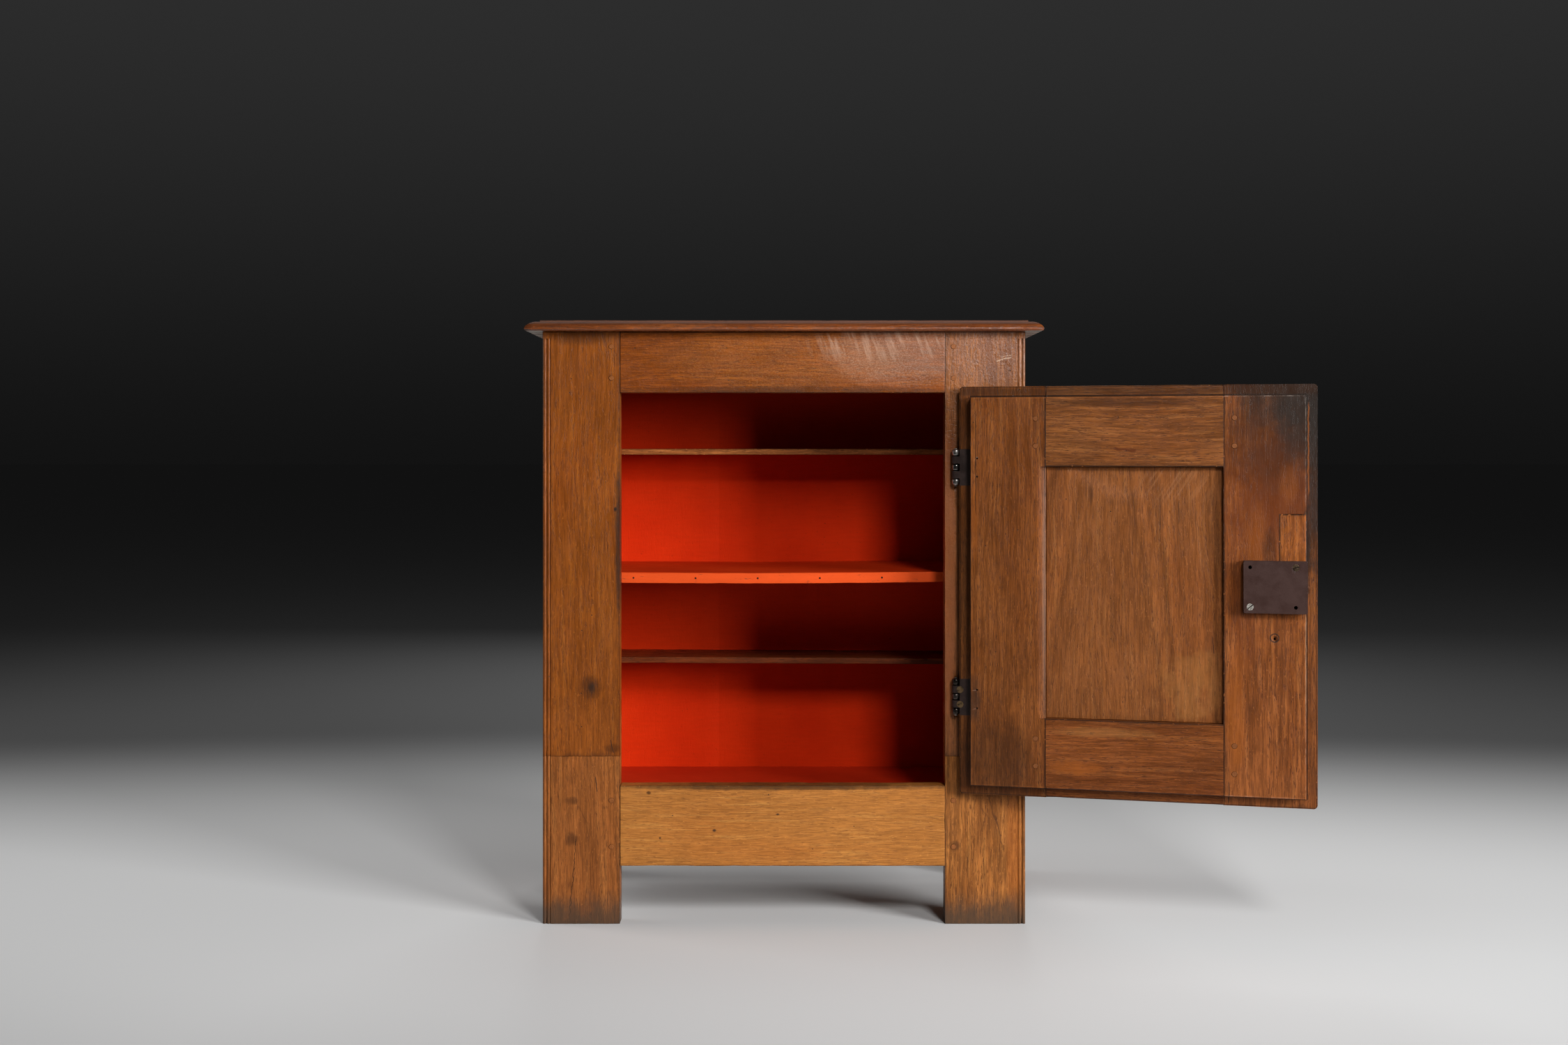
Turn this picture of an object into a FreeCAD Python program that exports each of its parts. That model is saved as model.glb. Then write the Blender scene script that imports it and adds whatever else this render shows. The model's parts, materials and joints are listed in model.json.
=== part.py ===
"""Small frame-and-panel oak cabinet with one lipped door that stands open.

X runs to the right along the front, Y to the back and Z up, in millimetres.  The origin is the lower left
front corner of the carcass, on the sole of the left front foot.  The door and its lock are drawn closed, and
swung open about the hinge pins at the end.
"""
import FreeCAD, Part
import os

V = FreeCAD.Vector

# Carcass
body_width = 720.0
body_depth = 325.0
total_height = 900.0
foot_height = 86.0  # clear height under the bottom rails
frame_thickness = 28.0
left_stile_width = 0.16 * body_width
right_stile_width = body_width / 6
top_rail_height = 91.0
bottom_rail_height = 120.0
tenon_thickness = 9.0
tenon_length = 40.0
tenon_shoulder = 10.0
peg_diameter = 8.0
peg_clearance = 0.1  # on the diameter
peg_inset = 12.5  # from the shoulder of the joint
top_peg_margin = 22.0  # from the long edges of the front top rail
bottom_peg_upper_margin = 22.0
bottom_peg_lower_margin = 29.0
splice_height = 250.0  # seam of the pieced-on front feet
splice_lap = 60.0

# Double bead along the outer front arrises
bead_width = 5.2
quirk_width = 0.9
quirk_depth = 1.6
bead_crest_drop = 0.2
bead_corner_drop = 2.6
bead_stop = 10.0  # plain length left under the top

# Top
top_thickness = 17.0
top_side_overhang = 25.0
top_front_overhang = 22.0
top_joint_depth = 150.0  # joint of the two boards, behind the front face
top_tongue_thickness = 5.0
top_tongue_length = 7.0
nose_height = 4.5
nose_under_round = 3.5
thumb_width = 21.0
thumb_height = 14.6
thumb_bulge_in = 5.0
thumb_bulge_height = 10.3
top_peg_depth = 30.0  # below the underside of the top

# Sides
side_setback = 2.0
side_thickness = 22.0
side_tenon_thickness = 8.0
side_tenon_length = 18.0
side_peg_length = 30.0
side_peg_margin = 24.0
post_width = 45.0
post_depth = 57.0
groove_depth = 8.0
panel_tongue = 6.0
panel_tongue_clearance = 0.5
panel_edge_gap = 0.3
panel_bevel_width = 38.0
panel_bevel_rise = 3.0
panel_field_step = 1.5

# Back and floor
back_thickness = 13.0
back_rebate = 12.0
back_board_count = 3
back_tongue_thickness = 4.0
back_tongue_length = 5.0
back_seam_chamfer = 2.0
back_nail_margin = 28.0
back_nail_drop = 22.0
back_nail_length = 28.0
rear_rail_thickness = 22.0
rear_top_rail_height = 75.0
rear_tenon_thickness = 8.0
rear_tenon_length = 20.0
rear_peg_length = 30.0
floor_drop = 29.5  # floor boards below the top of the bottom rail
floor_thickness = 15.0
floor_joint_depth = 170.0

# Shelves
shelf_end_gap = 0.5
lower_shelf_rise = 187.0  # clear height over the floor boards, at the left
lower_shelf_fall = 2.9  # right end lower than the left
narrow_shelf_thickness = 10.0
narrow_shelf_depth = 107.0
middle_shelf_rise = 132.0  # clear height over the lower shelf, at the left
middle_shelf_lift = 2.2  # right end higher than the left
middle_shelf_sag = 3.0
middle_shelf_thickness = 16.0
middle_shelf_setback = 50.0  # front edge behind the front face
edging_thickness = 8.0
upper_shelf_drop = 83.0  # under the top of the door opening
cleat_width = 20.0
cleat_height = 22.0
narrow_cleat_length = 75.0
cleat_nail_margin = 16.0
nail_diameter = 3.0
shelf_nail_length = 25.0
edging_nail_first = 131.0  # from the left side of the carcass
edging_nail_pitch = 94.5
edging_nail_count = 5

# Door
door_hinge_gap = 8.4
door_lock_gap = 1.8
door_end_gap = 7.0
door_face_gap = 0.6  # lip off the front frame
lip_thickness = 12.0
lip_hinge_width = 17.5
lip_lock_width = 15.6
lip_end_width = 15.5
lip_corner_radius = 6.0
lip_edge_radius = 5.0
raised_thickness = 16.0
door_hinge_stile_width = 0.177 * body_width
door_lock_stile_width = 0.18 * body_width
door_rail_height = 118.0
door_peg_inset = 15.0
door_peg_outer = 48.0
door_peg_inner = 88.0
door_panel_recess = 8.0
door_panel_bevel_width = 28.0
door_panel_bevel_rise = 7.0
chamfer_width = 9.0
chamfer_depth = 5.0
patch_width = 38.0
patch_height = 79.0
patch_depth = 6.0
patch_tuck = 13.0  # how far the patch runs under the lock
plug_hole_diameter = 3.4
plug_sink_diameter = 8.0
plug_sink_depth = 1.0
plug_hole_depth = 10.0
plug_hole_drop = 37.0  # under the lock
plug_hole_inset = 44.0
open_angle = 167.2

# Hinges
hinge_height = 54.0
hinge_upper_drop = 119.5  # middle of the upper hinge under the top of the lip
hinge_lower_rise = 143.0
barrel_radius = 6.0
barrel_gap = 0.4
knuckle_gap = 0.4
hinge_pin_radius = 3.0
hinge_pin_clearance = 0.05
hinge_pin_proud = 1.0
leaf_thickness = 2.5
door_leaf_tuck = 20.0
frame_leaf_depth = 20.0
hinge_nail_pitch = 27.0
hinge_nail_inset = 10.0
door_leaf_nail_length = 23.0
frame_leaf_nail_length = 34.0
braze_radius = 5.0
braze_height = 0.4
braze_inset = 7.0  # from the axis of the hinge
screw_slot_width = 1.2
screw_slot_depth = 0.9
screw_head_rim = 0.5

# Lock
lock_width = 87.0
lock_height = 74.0
lock_depth = 12.0
lock_rise = 14.0  # middle of the lock over the middle of the door
lock_plate = 2.0
lock_base = 1.6
lock_wall = 2.0
lock_corner_radius = 3.0
lock_hole_radius = 2.6
lock_hole_inner_inset = 9.0
lock_hole_outer_inset = 16.0
lock_hole_end_inset = 9.0
lock_screw_radius = 2.1
lock_screw_head_radius = 4.8
lock_screw_length = 26.0
bolt_height = 18.0
bolt_clearance = 0.2
bolt_throw = 10.0
bolt_tail_gap = 2.0
bolt_slot_height = 4.6
bolt_slot_margin = 3.0  # iron left behind the guide slot
guide_stud_radius = 2.0
talon_width = 13.0
talon_depth = 6.0
spring_thickness = 0.8
spring_width = 5.0
spring_length = 52.0
spring_foot = 7.0
key_backset = 45.0
key_drop = 16.0  # key pin under the middle of the bolt
key_round_radius = 4.5
key_slot_width = 5.6
key_slot_length = 16.0
key_pin_radius = 2.2
key_pin_reach = 6.0
strike_clearance = 0.8
strike_depth = 12.0
escutcheon_half_height = 24.0
escutcheon_half_width = 14.0
escutcheon_thickness = 1.5
escutcheon_drop = 4.0  # middle of the plate under the key pin
escutcheon_pin_radius = 1.2
escutcheon_pin_length = 9.0
escutcheon_pin_margin = 4.5

# Places that follow from the sizes
carcass_top = total_height - top_thickness
opening_left = left_stile_width
opening_right = body_width - right_stile_width
opening_bottom = foot_height + bottom_rail_height
opening_top = carcass_top - top_rail_height
rear_face = body_depth
back_face = body_depth - back_thickness
post_front = body_depth - post_depth
side_inner = side_setback + side_thickness
side_middle = side_setback + side_thickness / 2
floor_top = opening_bottom - floor_drop
floor_bottom = floor_top - floor_thickness
peg_radius = (peg_diameter - peg_clearance) / 2
peg_hole_radius = peg_diameter / 2
nail_radius = nail_diameter / 2
reach = 1.0  # how far cutting tools run past a face

raised_left = opening_left + door_lock_gap
raised_right = opening_right - door_hinge_gap
raised_bottom = opening_bottom + door_end_gap
raised_top = opening_top - door_end_gap
lip_left = raised_left - lip_lock_width
lip_right = raised_right + lip_hinge_width
lip_bottom = raised_bottom - lip_end_width
lip_top = raised_top + lip_end_width
lip_back = -door_face_gap
lip_front = lip_back - lip_thickness
raised_face = lip_back + raised_thickness
door_middle = (lip_front + raised_face) / 2
panel_left = lip_left + door_lock_stile_width
panel_right = lip_right - door_hinge_stile_width
panel_bottom = lip_bottom + door_rail_height
panel_top = lip_top - door_rail_height

axis_x = lip_right + barrel_gap + barrel_radius
axis_y = lip_back - barrel_radius
hinge_middles = (lip_top - hinge_upper_drop, lip_bottom + hinge_lower_rise)
leaf_front = lip_back - leaf_thickness

lock_left = raised_left
lock_right = raised_left + lock_width
lock_middle = (lip_bottom + lip_top) / 2 + lock_rise
lock_bottom = lock_middle - lock_height / 2
lock_top = lock_middle + lock_height / 2
lock_face = raised_face + lock_depth
cover_back = lock_face - lock_plate
key_x = lock_left + key_backset
key_z = lock_middle - key_drop
bolt_right = lock_right - lock_wall - bolt_tail_gap
stud_x = bolt_right - bolt_slot_margin - bolt_throw - bolt_slot_height / 2
bolt_front = raised_face + lock_base + bolt_clearance
bolt_back = cover_back - bolt_clearance

parts = {}


def block(x, y, z):
    """Box between two X, two Y and two Z values."""
    return Part.makeBox(x[1] - x[0], y[1] - y[0], z[1] - z[0], V(x[0], y[0], z[0]))


def rod(point, direction, radius, length):
    return Part.makeCylinder(radius, length, V(*point), V(*direction))


def join(first, *others):
    return first.fuse(list(others)).removeSplitter()


def group(shapes):
    """Separate solids that share one node."""
    return Part.makeCompound([solid for shape in shapes for solid in shape.Solids])


def mirrored(shape):
    """The same piece on the other side of the carcass."""
    return shape.mirror(V(body_width / 2, 0, 0), V(1, 0, 0))


def rectangle(half_width, half_height, y):
    corners = [(-1, -1), (1, -1), (1, 1), (-1, 1), (-1, -1)]
    return Part.makePolygon([V(half_width * side, y, half_height * end) for side, end in corners])


def outline(edges, direction):
    """Solid from a closed row of edges, pushed along a direction."""
    return Part.Face(Part.Wire(Part.__sortEdges__(edges))).extrude(V(*direction))


def line(start, end):
    return Part.makeLine(V(*start), V(*end))


def arc(start, through, end):
    return Part.Arc(V(*start), V(*through), V(*end)).toShape()


def fielded_panel(width, height, pad, bevel_width, bevel_rise):
    """Panel in the X-Z plane round the origin: tongue all round, flush pad behind, raised field in front."""
    tongue_x = width / 2 + groove_depth - panel_tongue_clearance
    tongue_z = height / 2 + groove_depth - panel_tongue_clearance
    half = panel_tongue / 2
    pad_x = width / 2 - panel_edge_gap
    pad_z = height / 2 - panel_edge_gap
    field_x = width / 2 - bevel_width
    field_z = height / 2 - bevel_width
    tongue = block((-tongue_x, tongue_x), (-half, half), (-tongue_z, tongue_z))
    back = block((-pad_x, pad_x), (half, half + pad), (-pad_z, pad_z))
    slope = Part.makeLoft(
        [rectangle(pad_x, pad_z, -half), rectangle(field_x, field_z, -half - bevel_rise)], True, True)
    field_front = -half - bevel_rise - panel_field_step
    field = block((-field_x, field_x), (field_front, -half - bevel_rise), (-field_z, field_z))
    return join(tongue, back, slope, field)


# Heights of the pegs in the front and side joints
top_peg_heights = (carcass_top - top_peg_margin, opening_top + top_peg_margin)
bottom_peg_heights = (opening_bottom - bottom_peg_upper_margin, foot_height + bottom_peg_lower_margin)
side_peg_heights = (carcass_top - side_peg_margin, opening_top + side_peg_margin,
                    opening_bottom - side_peg_margin, foot_height + side_peg_margin)
top_rail_span = (opening_top, carcass_top)
bottom_rail_span = (foot_height, opening_bottom)
top_tenon_span = (opening_top + tenon_shoulder, carcass_top - tenon_shoulder)
bottom_tenon_span = (foot_height + tenon_shoulder, opening_bottom - tenon_shoulder)
front_tenon_y = ((frame_thickness - tenon_thickness) / 2, (frame_thickness + tenon_thickness) / 2)
side_tenon_x = (side_middle - side_tenon_thickness / 2, side_middle + side_tenon_thickness / 2)
side_groove_x = (side_middle - panel_tongue / 2, side_middle + panel_tongue / 2)
front_side_peg_y = frame_thickness - side_tenon_length / 2
rear_side_peg_y = post_front + side_tenon_length / 2
top_peg_places = ((left_stile_width / 2, frame_thickness / 2), (body_width / 2, frame_thickness / 2),
                  (body_width - right_stile_width / 2, frame_thickness / 2),
                  (back_rebate, rear_face - back_thickness / 2 - back_rebate),
                  (body_width - back_rebate, rear_face - back_thickness / 2 - back_rebate),
                  (body_width / 2, back_face - rear_rail_thickness / 2))


def front_pegs(radius):
    rods = []
    for x in (opening_left - peg_inset, opening_right + peg_inset):
        for z in top_peg_heights + bottom_peg_heights:
            rods.append(rod((x, 0, z), (0, 1, 0), radius, frame_thickness))
    return rods


def left_side_pegs(radius):
    rods = []
    for y in (front_side_peg_y, rear_side_peg_y):
        for z in side_peg_heights:
            rods.append(rod((0, y, z), (1, 0, 0), radius, side_peg_length))
    return rods


def top_pegs(radius):
    length = top_thickness + top_peg_depth
    return [rod((x, y, carcass_top - top_peg_depth), (0, 0, 1), radius, length) for x, y in top_peg_places]


rear_rail_y = (back_face - rear_rail_thickness, back_face)
rear_tenon_y = (back_face - (rear_rail_thickness + rear_tenon_thickness) / 2,
                back_face - (rear_rail_thickness - rear_tenon_thickness) / 2)
rear_top_span = (carcass_top - rear_top_rail_height, carcass_top)
rear_bottom_span = (foot_height, floor_bottom)


def rear_tenon_z(span):
    return (span[0] + tenon_shoulder, span[1] - tenon_shoulder)


def left_rear_pegs(radius):
    """Pegs of the rear rails, one to a joint, driven before the back boards go on."""
    x = post_width - rear_tenon_length / 2
    rods = []
    for span in (rear_top_span, rear_bottom_span):
        middle = (span[0] + span[1]) / 2
        rods.append(rod((x, back_face - rear_peg_length, middle), (0, 1, 0), radius, rear_peg_length))
    return rods


def bead_waste():
    """What is cut off the outer front arris of the left stile to leave two beads."""
    crest = bead_crest_drop
    inner = bead_width + quirk_width
    end = inner + bead_width
    face = end + quirk_width
    edges = [
        arc((0, bead_corner_drop, 0), (bead_width / 2, crest, 0), (bead_width, quirk_depth, 0)),
        line((bead_width, quirk_depth, 0), (inner, quirk_depth, 0)),
        arc((inner, quirk_depth, 0), (inner + bead_width / 2, crest, 0), (end, quirk_depth, 0)),
        line((end, quirk_depth, 0), (face, 0, 0)),
        line((face, 0, 0), (face, -reach, 0)),
        line((face, -reach, 0), (-reach, -reach, 0)),
        line((-reach, -reach, 0), (-reach, bead_corner_drop, 0)),
        line((-reach, bead_corner_drop, 0), (0, bead_corner_drop, 0)),
    ]
    waste = outline(edges, (0, 0, carcass_top - bead_stop + reach))
    waste.translate(V(0, 0, -reach))
    return waste


def front_stile(width):
    """Front stile on the left in one length, with the joints of the front and side frames."""
    stile = block((0, width), (0, frame_thickness), (0, carcass_top))
    waste = [bead_waste()]
    for span in (top_tenon_span, bottom_tenon_span):
        waste.append(block((width - tenon_length, width), front_tenon_y, span))
        waste.append(block(side_tenon_x, (frame_thickness - side_tenon_length, frame_thickness), span))
    groove = (frame_thickness - groove_depth, frame_thickness)
    waste.append(block(side_groove_x, groove, (opening_bottom - groove_depth, opening_top + groove_depth)))
    return stile.cut(waste + left_side_pegs(peg_hole_radius))


def foot_space():
    """Space of a pieced-on front foot: its back half laps up behind the stile."""
    middle = frame_thickness / 2
    front = block((0, body_width), (0, middle), (0, splice_height))
    back = block((0, body_width), (middle, frame_thickness), (0, splice_height + splice_lap))
    return join(front, back)


def frame_leaf_space(middle):
    half = hinge_height / 2
    across = (axis_x - leaf_thickness / 2, axis_x + leaf_thickness / 2)
    return block(across, (0, frame_leaf_depth), (middle - half, middle + half))


def frame_leaf_nails():
    y = frame_leaf_depth / 2
    rods = []
    for middle in hinge_middles:
        for z in (middle - hinge_nail_pitch / 2, middle + hinge_nail_pitch / 2):
            rods.append(rod((opening_right, y, z), (1, 0, 0), nail_radius, frame_leaf_nail_length))
    return rods


def strike_mortise():
    """Pocket in the edge of the left stile for the thrown bolt."""
    half = bolt_height / 2 + strike_clearance
    depth = (opening_left - strike_depth, opening_left + reach)
    across = (bolt_front - strike_clearance, bolt_back + strike_clearance)
    return block(depth, across, (lock_middle - half, lock_middle + half))


def build_front_frame():
    holes = front_pegs(peg_hole_radius) + top_pegs(peg_hole_radius)
    hinge_cuts = [frame_leaf_space(middle) for middle in hinge_middles] + frame_leaf_nails()
    left = front_stile(left_stile_width).cut(holes + [strike_mortise()])
    right = mirrored(front_stile(right_stile_width)).cut(holes + hinge_cuts)
    parts["left_front_stile"] = left.cut(foot_space())
    parts["right_front_stile"] = right.cut(foot_space())
    parts["left_front_foot"] = left.common(foot_space())
    parts["right_front_foot"] = right.common(foot_space())
    tenons = (opening_left - tenon_length, opening_right + tenon_length)
    for name, span, tenon_span in (("front_top_rail", top_rail_span, top_tenon_span),
                                   ("front_bottom_rail", bottom_rail_span, bottom_tenon_span)):
        rail = block((opening_left, opening_right), (0, frame_thickness), span)
        parts[name] = join(rail, block(tenons, front_tenon_y, tenon_span)).cut(holes)
    parts["front_frame_pegs"] = group(front_pegs(peg_radius))


def left_post():
    post = block((0, post_width), (post_front, rear_face), (0, carcass_top))
    waste = []
    for span in (top_tenon_span, bottom_tenon_span):
        waste.append(block(side_tenon_x, (post_front, post_front + side_tenon_length), span))
    groove = (post_front, post_front + groove_depth)
    waste.append(block(side_groove_x, groove, (opening_bottom - groove_depth, opening_top + groove_depth)))
    for span in (rear_top_span, rear_bottom_span):
        waste.append(block((post_width - rear_tenon_length, post_width), rear_tenon_y, rear_tenon_z(span)))
    rebate_x = (post_width - back_rebate, post_width)
    waste.append(block(rebate_x, (back_face, rear_face), (foot_height, carcass_top)))
    waste += left_side_pegs(peg_hole_radius) + left_rear_pegs(peg_hole_radius) + top_pegs(peg_hole_radius)
    return post.cut(waste)


def left_side_rail(span, tenon_span, groove_span):
    rail = block((side_setback, side_inner), (frame_thickness, post_front), span)
    reach_y = (frame_thickness - side_tenon_length, post_front + side_tenon_length)
    rail = join(rail, block(side_tenon_x, reach_y, tenon_span))
    return rail.cut([block(side_groove_x, reach_y, groove_span)] + left_side_pegs(peg_hole_radius))


def left_side_panel():
    width = post_front - frame_thickness
    height = opening_top - opening_bottom
    pad = side_inner - side_groove_x[1]
    panel = fielded_panel(width, height, pad, panel_bevel_width, panel_bevel_rise)
    panel.rotate(V(0, 0, 0), V(0, 0, 1), -90)
    panel.translate(V(side_middle, (frame_thickness + post_front) / 2, (opening_bottom + opening_top) / 2))
    return panel


def build_sides():
    top_groove = (opening_top, opening_top + groove_depth)
    bottom_groove = (opening_bottom - groove_depth, opening_bottom)
    pieces = {
        "rear_post": left_post(),
        "side_top_rail": left_side_rail(top_rail_span, top_tenon_span, top_groove),
        "side_bottom_rail": left_side_rail(bottom_rail_span, bottom_tenon_span, bottom_groove),
        "side_panel": left_side_panel(),
    }
    for name, shape in pieces.items():
        parts["left_" + name] = shape.cut(left_cleat_nails())
        parts["right_" + name] = mirrored(shape).cut(right_cleat_nails())
    pegs = left_side_pegs(peg_radius) + left_rear_pegs(peg_radius)
    parts["side_and_rear_pegs"] = group(pegs + [mirrored(peg) for peg in pegs])


back_left = post_width - back_rebate
back_board_width = (body_width - 2 * back_left) / back_board_count


def back_nails():
    rods = []
    for index in range(back_board_count):
        left = back_left + index * back_board_width
        for x in (left + back_nail_margin, left + back_board_width - back_nail_margin):
            for z in (carcass_top - back_nail_drop, foot_height + back_nail_drop):
                rods.append(rod((x, rear_face, z), (0, -1, 0), nail_radius, back_nail_length))
    return rods


def back_seam_cut(x):
    """Shallow vee down the outside of a seam between two back boards."""
    side = back_seam_chamfer
    edges = [line((x - side, rear_face, 0), (x + side, rear_face, 0)),
             line((x + side, rear_face, 0), (x, rear_face - side, 0)),
             line((x, rear_face - side, 0), (x - side, rear_face, 0))]
    return outline(edges, (0, 0, total_height))


def build_back():
    nails = back_nails()
    tenons = (post_width - rear_tenon_length, body_width - post_width + rear_tenon_length)
    pegs = left_rear_pegs(peg_hole_radius)
    holes = nails + pegs + [mirrored(peg) for peg in pegs] + top_pegs(peg_hole_radius)
    for name, span in (("rear_top_rail", rear_top_span), ("rear_bottom_rail", rear_bottom_span)):
        rail = block((post_width, body_width - post_width), rear_rail_y, span)
        parts[name] = join(rail, block(tenons, rear_tenon_y, rear_tenon_z(span))).cut(holes)
    middle = (back_face + rear_face) / 2
    tongue_y = (middle - back_tongue_thickness / 2, middle + back_tongue_thickness / 2)
    span = (foot_height, carcass_top)
    for index in range(back_board_count):
        left = back_left + index * back_board_width
        right = left + back_board_width
        board = block((left, right), (back_face, rear_face), span)
        waste = list(nails)
        if index > 0:
            waste += [block((left, left + back_tongue_length), tongue_y, span), back_seam_cut(left)]
        if index < back_board_count - 1:
            board = join(board, block((right, right + back_tongue_length), tongue_y, span))
            waste.append(back_seam_cut(right))
        parts["back_board_%d" % (index + 1)] = board.cut(waste)
    parts["back_nails"] = group(nails)


def post_notches(gap):
    """Space round both rear posts, left free by the boards inside the carcass."""
    notch = block((0, post_width + gap), (post_front - gap, rear_face), (0, total_height))
    return [notch, mirrored(notch)]


lower_shelf_top = floor_top + lower_shelf_rise + narrow_shelf_thickness
middle_shelf_top = lower_shelf_top + middle_shelf_rise + middle_shelf_thickness
upper_shelf_top = opening_top - upper_shelf_drop
shelf_left = side_inner + shelf_end_gap
shelf_right = body_width - shelf_left
middle_board_front = middle_shelf_setback + edging_thickness
narrow_shelf_front = back_face - narrow_shelf_depth


def shelf_profile(left_top, lift, sag, thickness, depth):
    """Board across the carcass whose right end is lifted and whose middle sags, from y=0 back."""
    middle = (shelf_left + shelf_right) / 2
    middle_top = left_top + lift / 2 - sag
    right_top = left_top + lift
    edges = [line((shelf_left, 0, left_top - thickness), (shelf_left, 0, left_top)),
             line((shelf_right, 0, right_top - thickness), (shelf_right, 0, right_top))]
    for drop in (0, thickness):
        start = (shelf_left, 0, left_top - drop)
        end = (shelf_right, 0, right_top - drop)
        if sag > 0:
            edges.append(arc(start, (middle, 0, middle_top - drop), end))
        else:
            edges.append(line(start, end))
    return outline(edges, (0, depth, 0))


def placed_shelf(left_top, lift, sag, thickness, span):
    shelf = shelf_profile(left_top, lift, sag, thickness, span[1] - span[0])
    shelf.translate(V(0, span[0], 0))
    return shelf


def middle_edging_nails():
    y = middle_shelf_setback
    half = middle_shelf_thickness / 2
    rods = []
    for index in range(edging_nail_count):
        x = edging_nail_first + index * edging_nail_pitch
        across = (x - shelf_left) / (shelf_right - shelf_left)
        sag = 4 * middle_shelf_sag * across * (1 - across)
        z = middle_shelf_top + middle_shelf_lift * across - sag - half
        rods.append(rod((x, y, z), (0, 1, 0), nail_radius, shelf_nail_length))
    return rods


def cleat_rows():
    """Span along Y and top height at the left and right wall, for the cleats of the floor and each shelf."""
    narrow = (post_front - narrow_cleat_length, post_front)
    full = (frame_thickness, post_front)
    width_share = cleat_width / (shelf_right - shelf_left)
    middle_slope = (4 * middle_shelf_sag - middle_shelf_lift) * width_share
    middle_under = middle_shelf_top - middle_shelf_thickness
    right_slope = (4 * middle_shelf_sag + middle_shelf_lift) * width_share
    lower_under = lower_shelf_top - narrow_shelf_thickness
    upper_under = upper_shelf_top - narrow_shelf_thickness
    return {
        "floor_cleats": (full, floor_bottom, floor_bottom),
        "lower_shelf_cleats": (narrow, lower_under - lower_shelf_fall * width_share,
                               lower_under - lower_shelf_fall),
        "middle_shelf_cleats": (full, middle_under - middle_slope,
                                middle_under + middle_shelf_lift - right_slope),
        "upper_shelf_cleats": (narrow, upper_under, upper_under),
    }


def cleat_nails(top_index):
    """Nails along X through the cleats of the left wall, at the heights of the left or the right ones."""
    rods = []
    for row in cleat_rows().values():
        span = row[0]
        z = row[1 + top_index] - cleat_height / 2
        for y in (span[0] + cleat_nail_margin, span[1] - cleat_nail_margin):
            rods.append(rod((side_inner + cleat_width, y, z), (-1, 0, 0), nail_radius, shelf_nail_length))
    return rods


def left_cleat_nails():
    return cleat_nails(0)


def right_cleat_nails():
    return [mirrored(nail) for nail in cleat_nails(1)]


def build_shelves():
    notches = post_notches(shelf_end_gap)
    floor_span = (floor_bottom, floor_top)
    across = (side_inner, body_width - side_inner)
    floor_notches = post_notches(0)
    parts["floor_front_board"] = block(across, (frame_thickness, floor_joint_depth), floor_span)
    parts["floor_rear_board"] = block(across, (floor_joint_depth, back_face), floor_span).cut(floor_notches)
    narrow = (narrow_shelf_front, back_face)
    lower = placed_shelf(lower_shelf_top, -lower_shelf_fall, 0, narrow_shelf_thickness, narrow)
    upper = placed_shelf(upper_shelf_top, 0, 0, narrow_shelf_thickness, narrow)
    parts["lower_shelf"] = lower.cut(notches)
    parts["upper_shelf"] = upper.cut(notches)
    bowed = (middle_shelf_top, middle_shelf_lift, middle_shelf_sag, middle_shelf_thickness)
    edging_nails = middle_edging_nails()
    board = placed_shelf(*bowed, (middle_board_front, back_face))
    parts["middle_shelf"] = board.cut(notches + edging_nails)
    edging = placed_shelf(*bowed, (middle_shelf_setback, middle_board_front))
    parts["middle_shelf_edging"] = edging.cut(edging_nails)
    left_nails = left_cleat_nails()
    right_nails = right_cleat_nails()
    for name, (span, left_top, right_top) in cleat_rows().items():
        x = (side_inner, side_inner + cleat_width)
        left = block(x, span, (left_top - cleat_height, left_top)).cut(left_nails)
        right = mirrored(block(x, span, (right_top - cleat_height, right_top))).cut(right_nails)
        parts[name] = group([left, right])
    parts["shelf_nails"] = group(edging_nails + left_nails + right_nails)


def top_edge(at):
    """Moulded edge of the top: edges from the underside round the nose to the fillet, at(out, height)."""
    step_out = -thumb_width
    return [
        arc(at(-nose_under_round, 0), at(-nose_under_round / 4, nose_height / 3), at(0, nose_height)),
        arc(at(0, nose_height), at(-thumb_bulge_in, thumb_bulge_height), at(step_out, thumb_height)),
        line(at(step_out, thumb_height), at(step_out, top_thickness)),
    ]


def top_slab():
    """Top with the moulding on its front and both ends, mitred where they meet."""
    front = -top_front_overhang
    left = -top_side_overhang
    right = body_width + top_side_overhang

    def at_front(out, height):
        return (left, front - out, carcass_top + height)

    def at_left(out, height):
        return (left - out, front, carcass_top + height)

    def at_right(out, height):
        return (right + out, front, carcass_top + height)

    front_edges = top_edge(at_front) + [
        line(at_front(-nose_under_round, 0), (left, rear_face, carcass_top)),
        line((left, rear_face, carcass_top), (left, rear_face, total_height)),
        line((left, rear_face, total_height), at_front(-thumb_width, top_thickness)),
    ]
    end_edges = top_edge(at_left) + top_edge(at_right) + [
        line(at_left(-nose_under_round, 0), at_right(-nose_under_round, 0)),
        line(at_left(-thumb_width, top_thickness), at_right(-thumb_width, top_thickness)),
    ]
    along = outline(front_edges, (right - left, 0, 0))
    across = outline(end_edges, (0, rear_face - front, 0))
    return along.common(across)


def build_top():
    slab = top_slab().cut(top_pegs(peg_hole_radius))
    left = -top_side_overhang
    right = body_width + top_side_overhang
    middle = carcass_top + top_thickness / 2
    tongue_z = (middle - top_tongue_thickness / 2, middle + top_tongue_thickness / 2)
    front_half = block((left, right), (-top_front_overhang, top_joint_depth), (carcass_top, total_height))
    inset = thumb_width + reach
    tongue = block((left + inset, right - inset),
                   (top_joint_depth - top_tongue_length, top_joint_depth), tongue_z)
    parts["top_front_board"] = slab.common(front_half).cut(tongue)
    parts["top_rear_board"] = join(slab.cut(front_half), tongue)
    parts["top_pegs"] = group(top_pegs(peg_radius))


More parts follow.
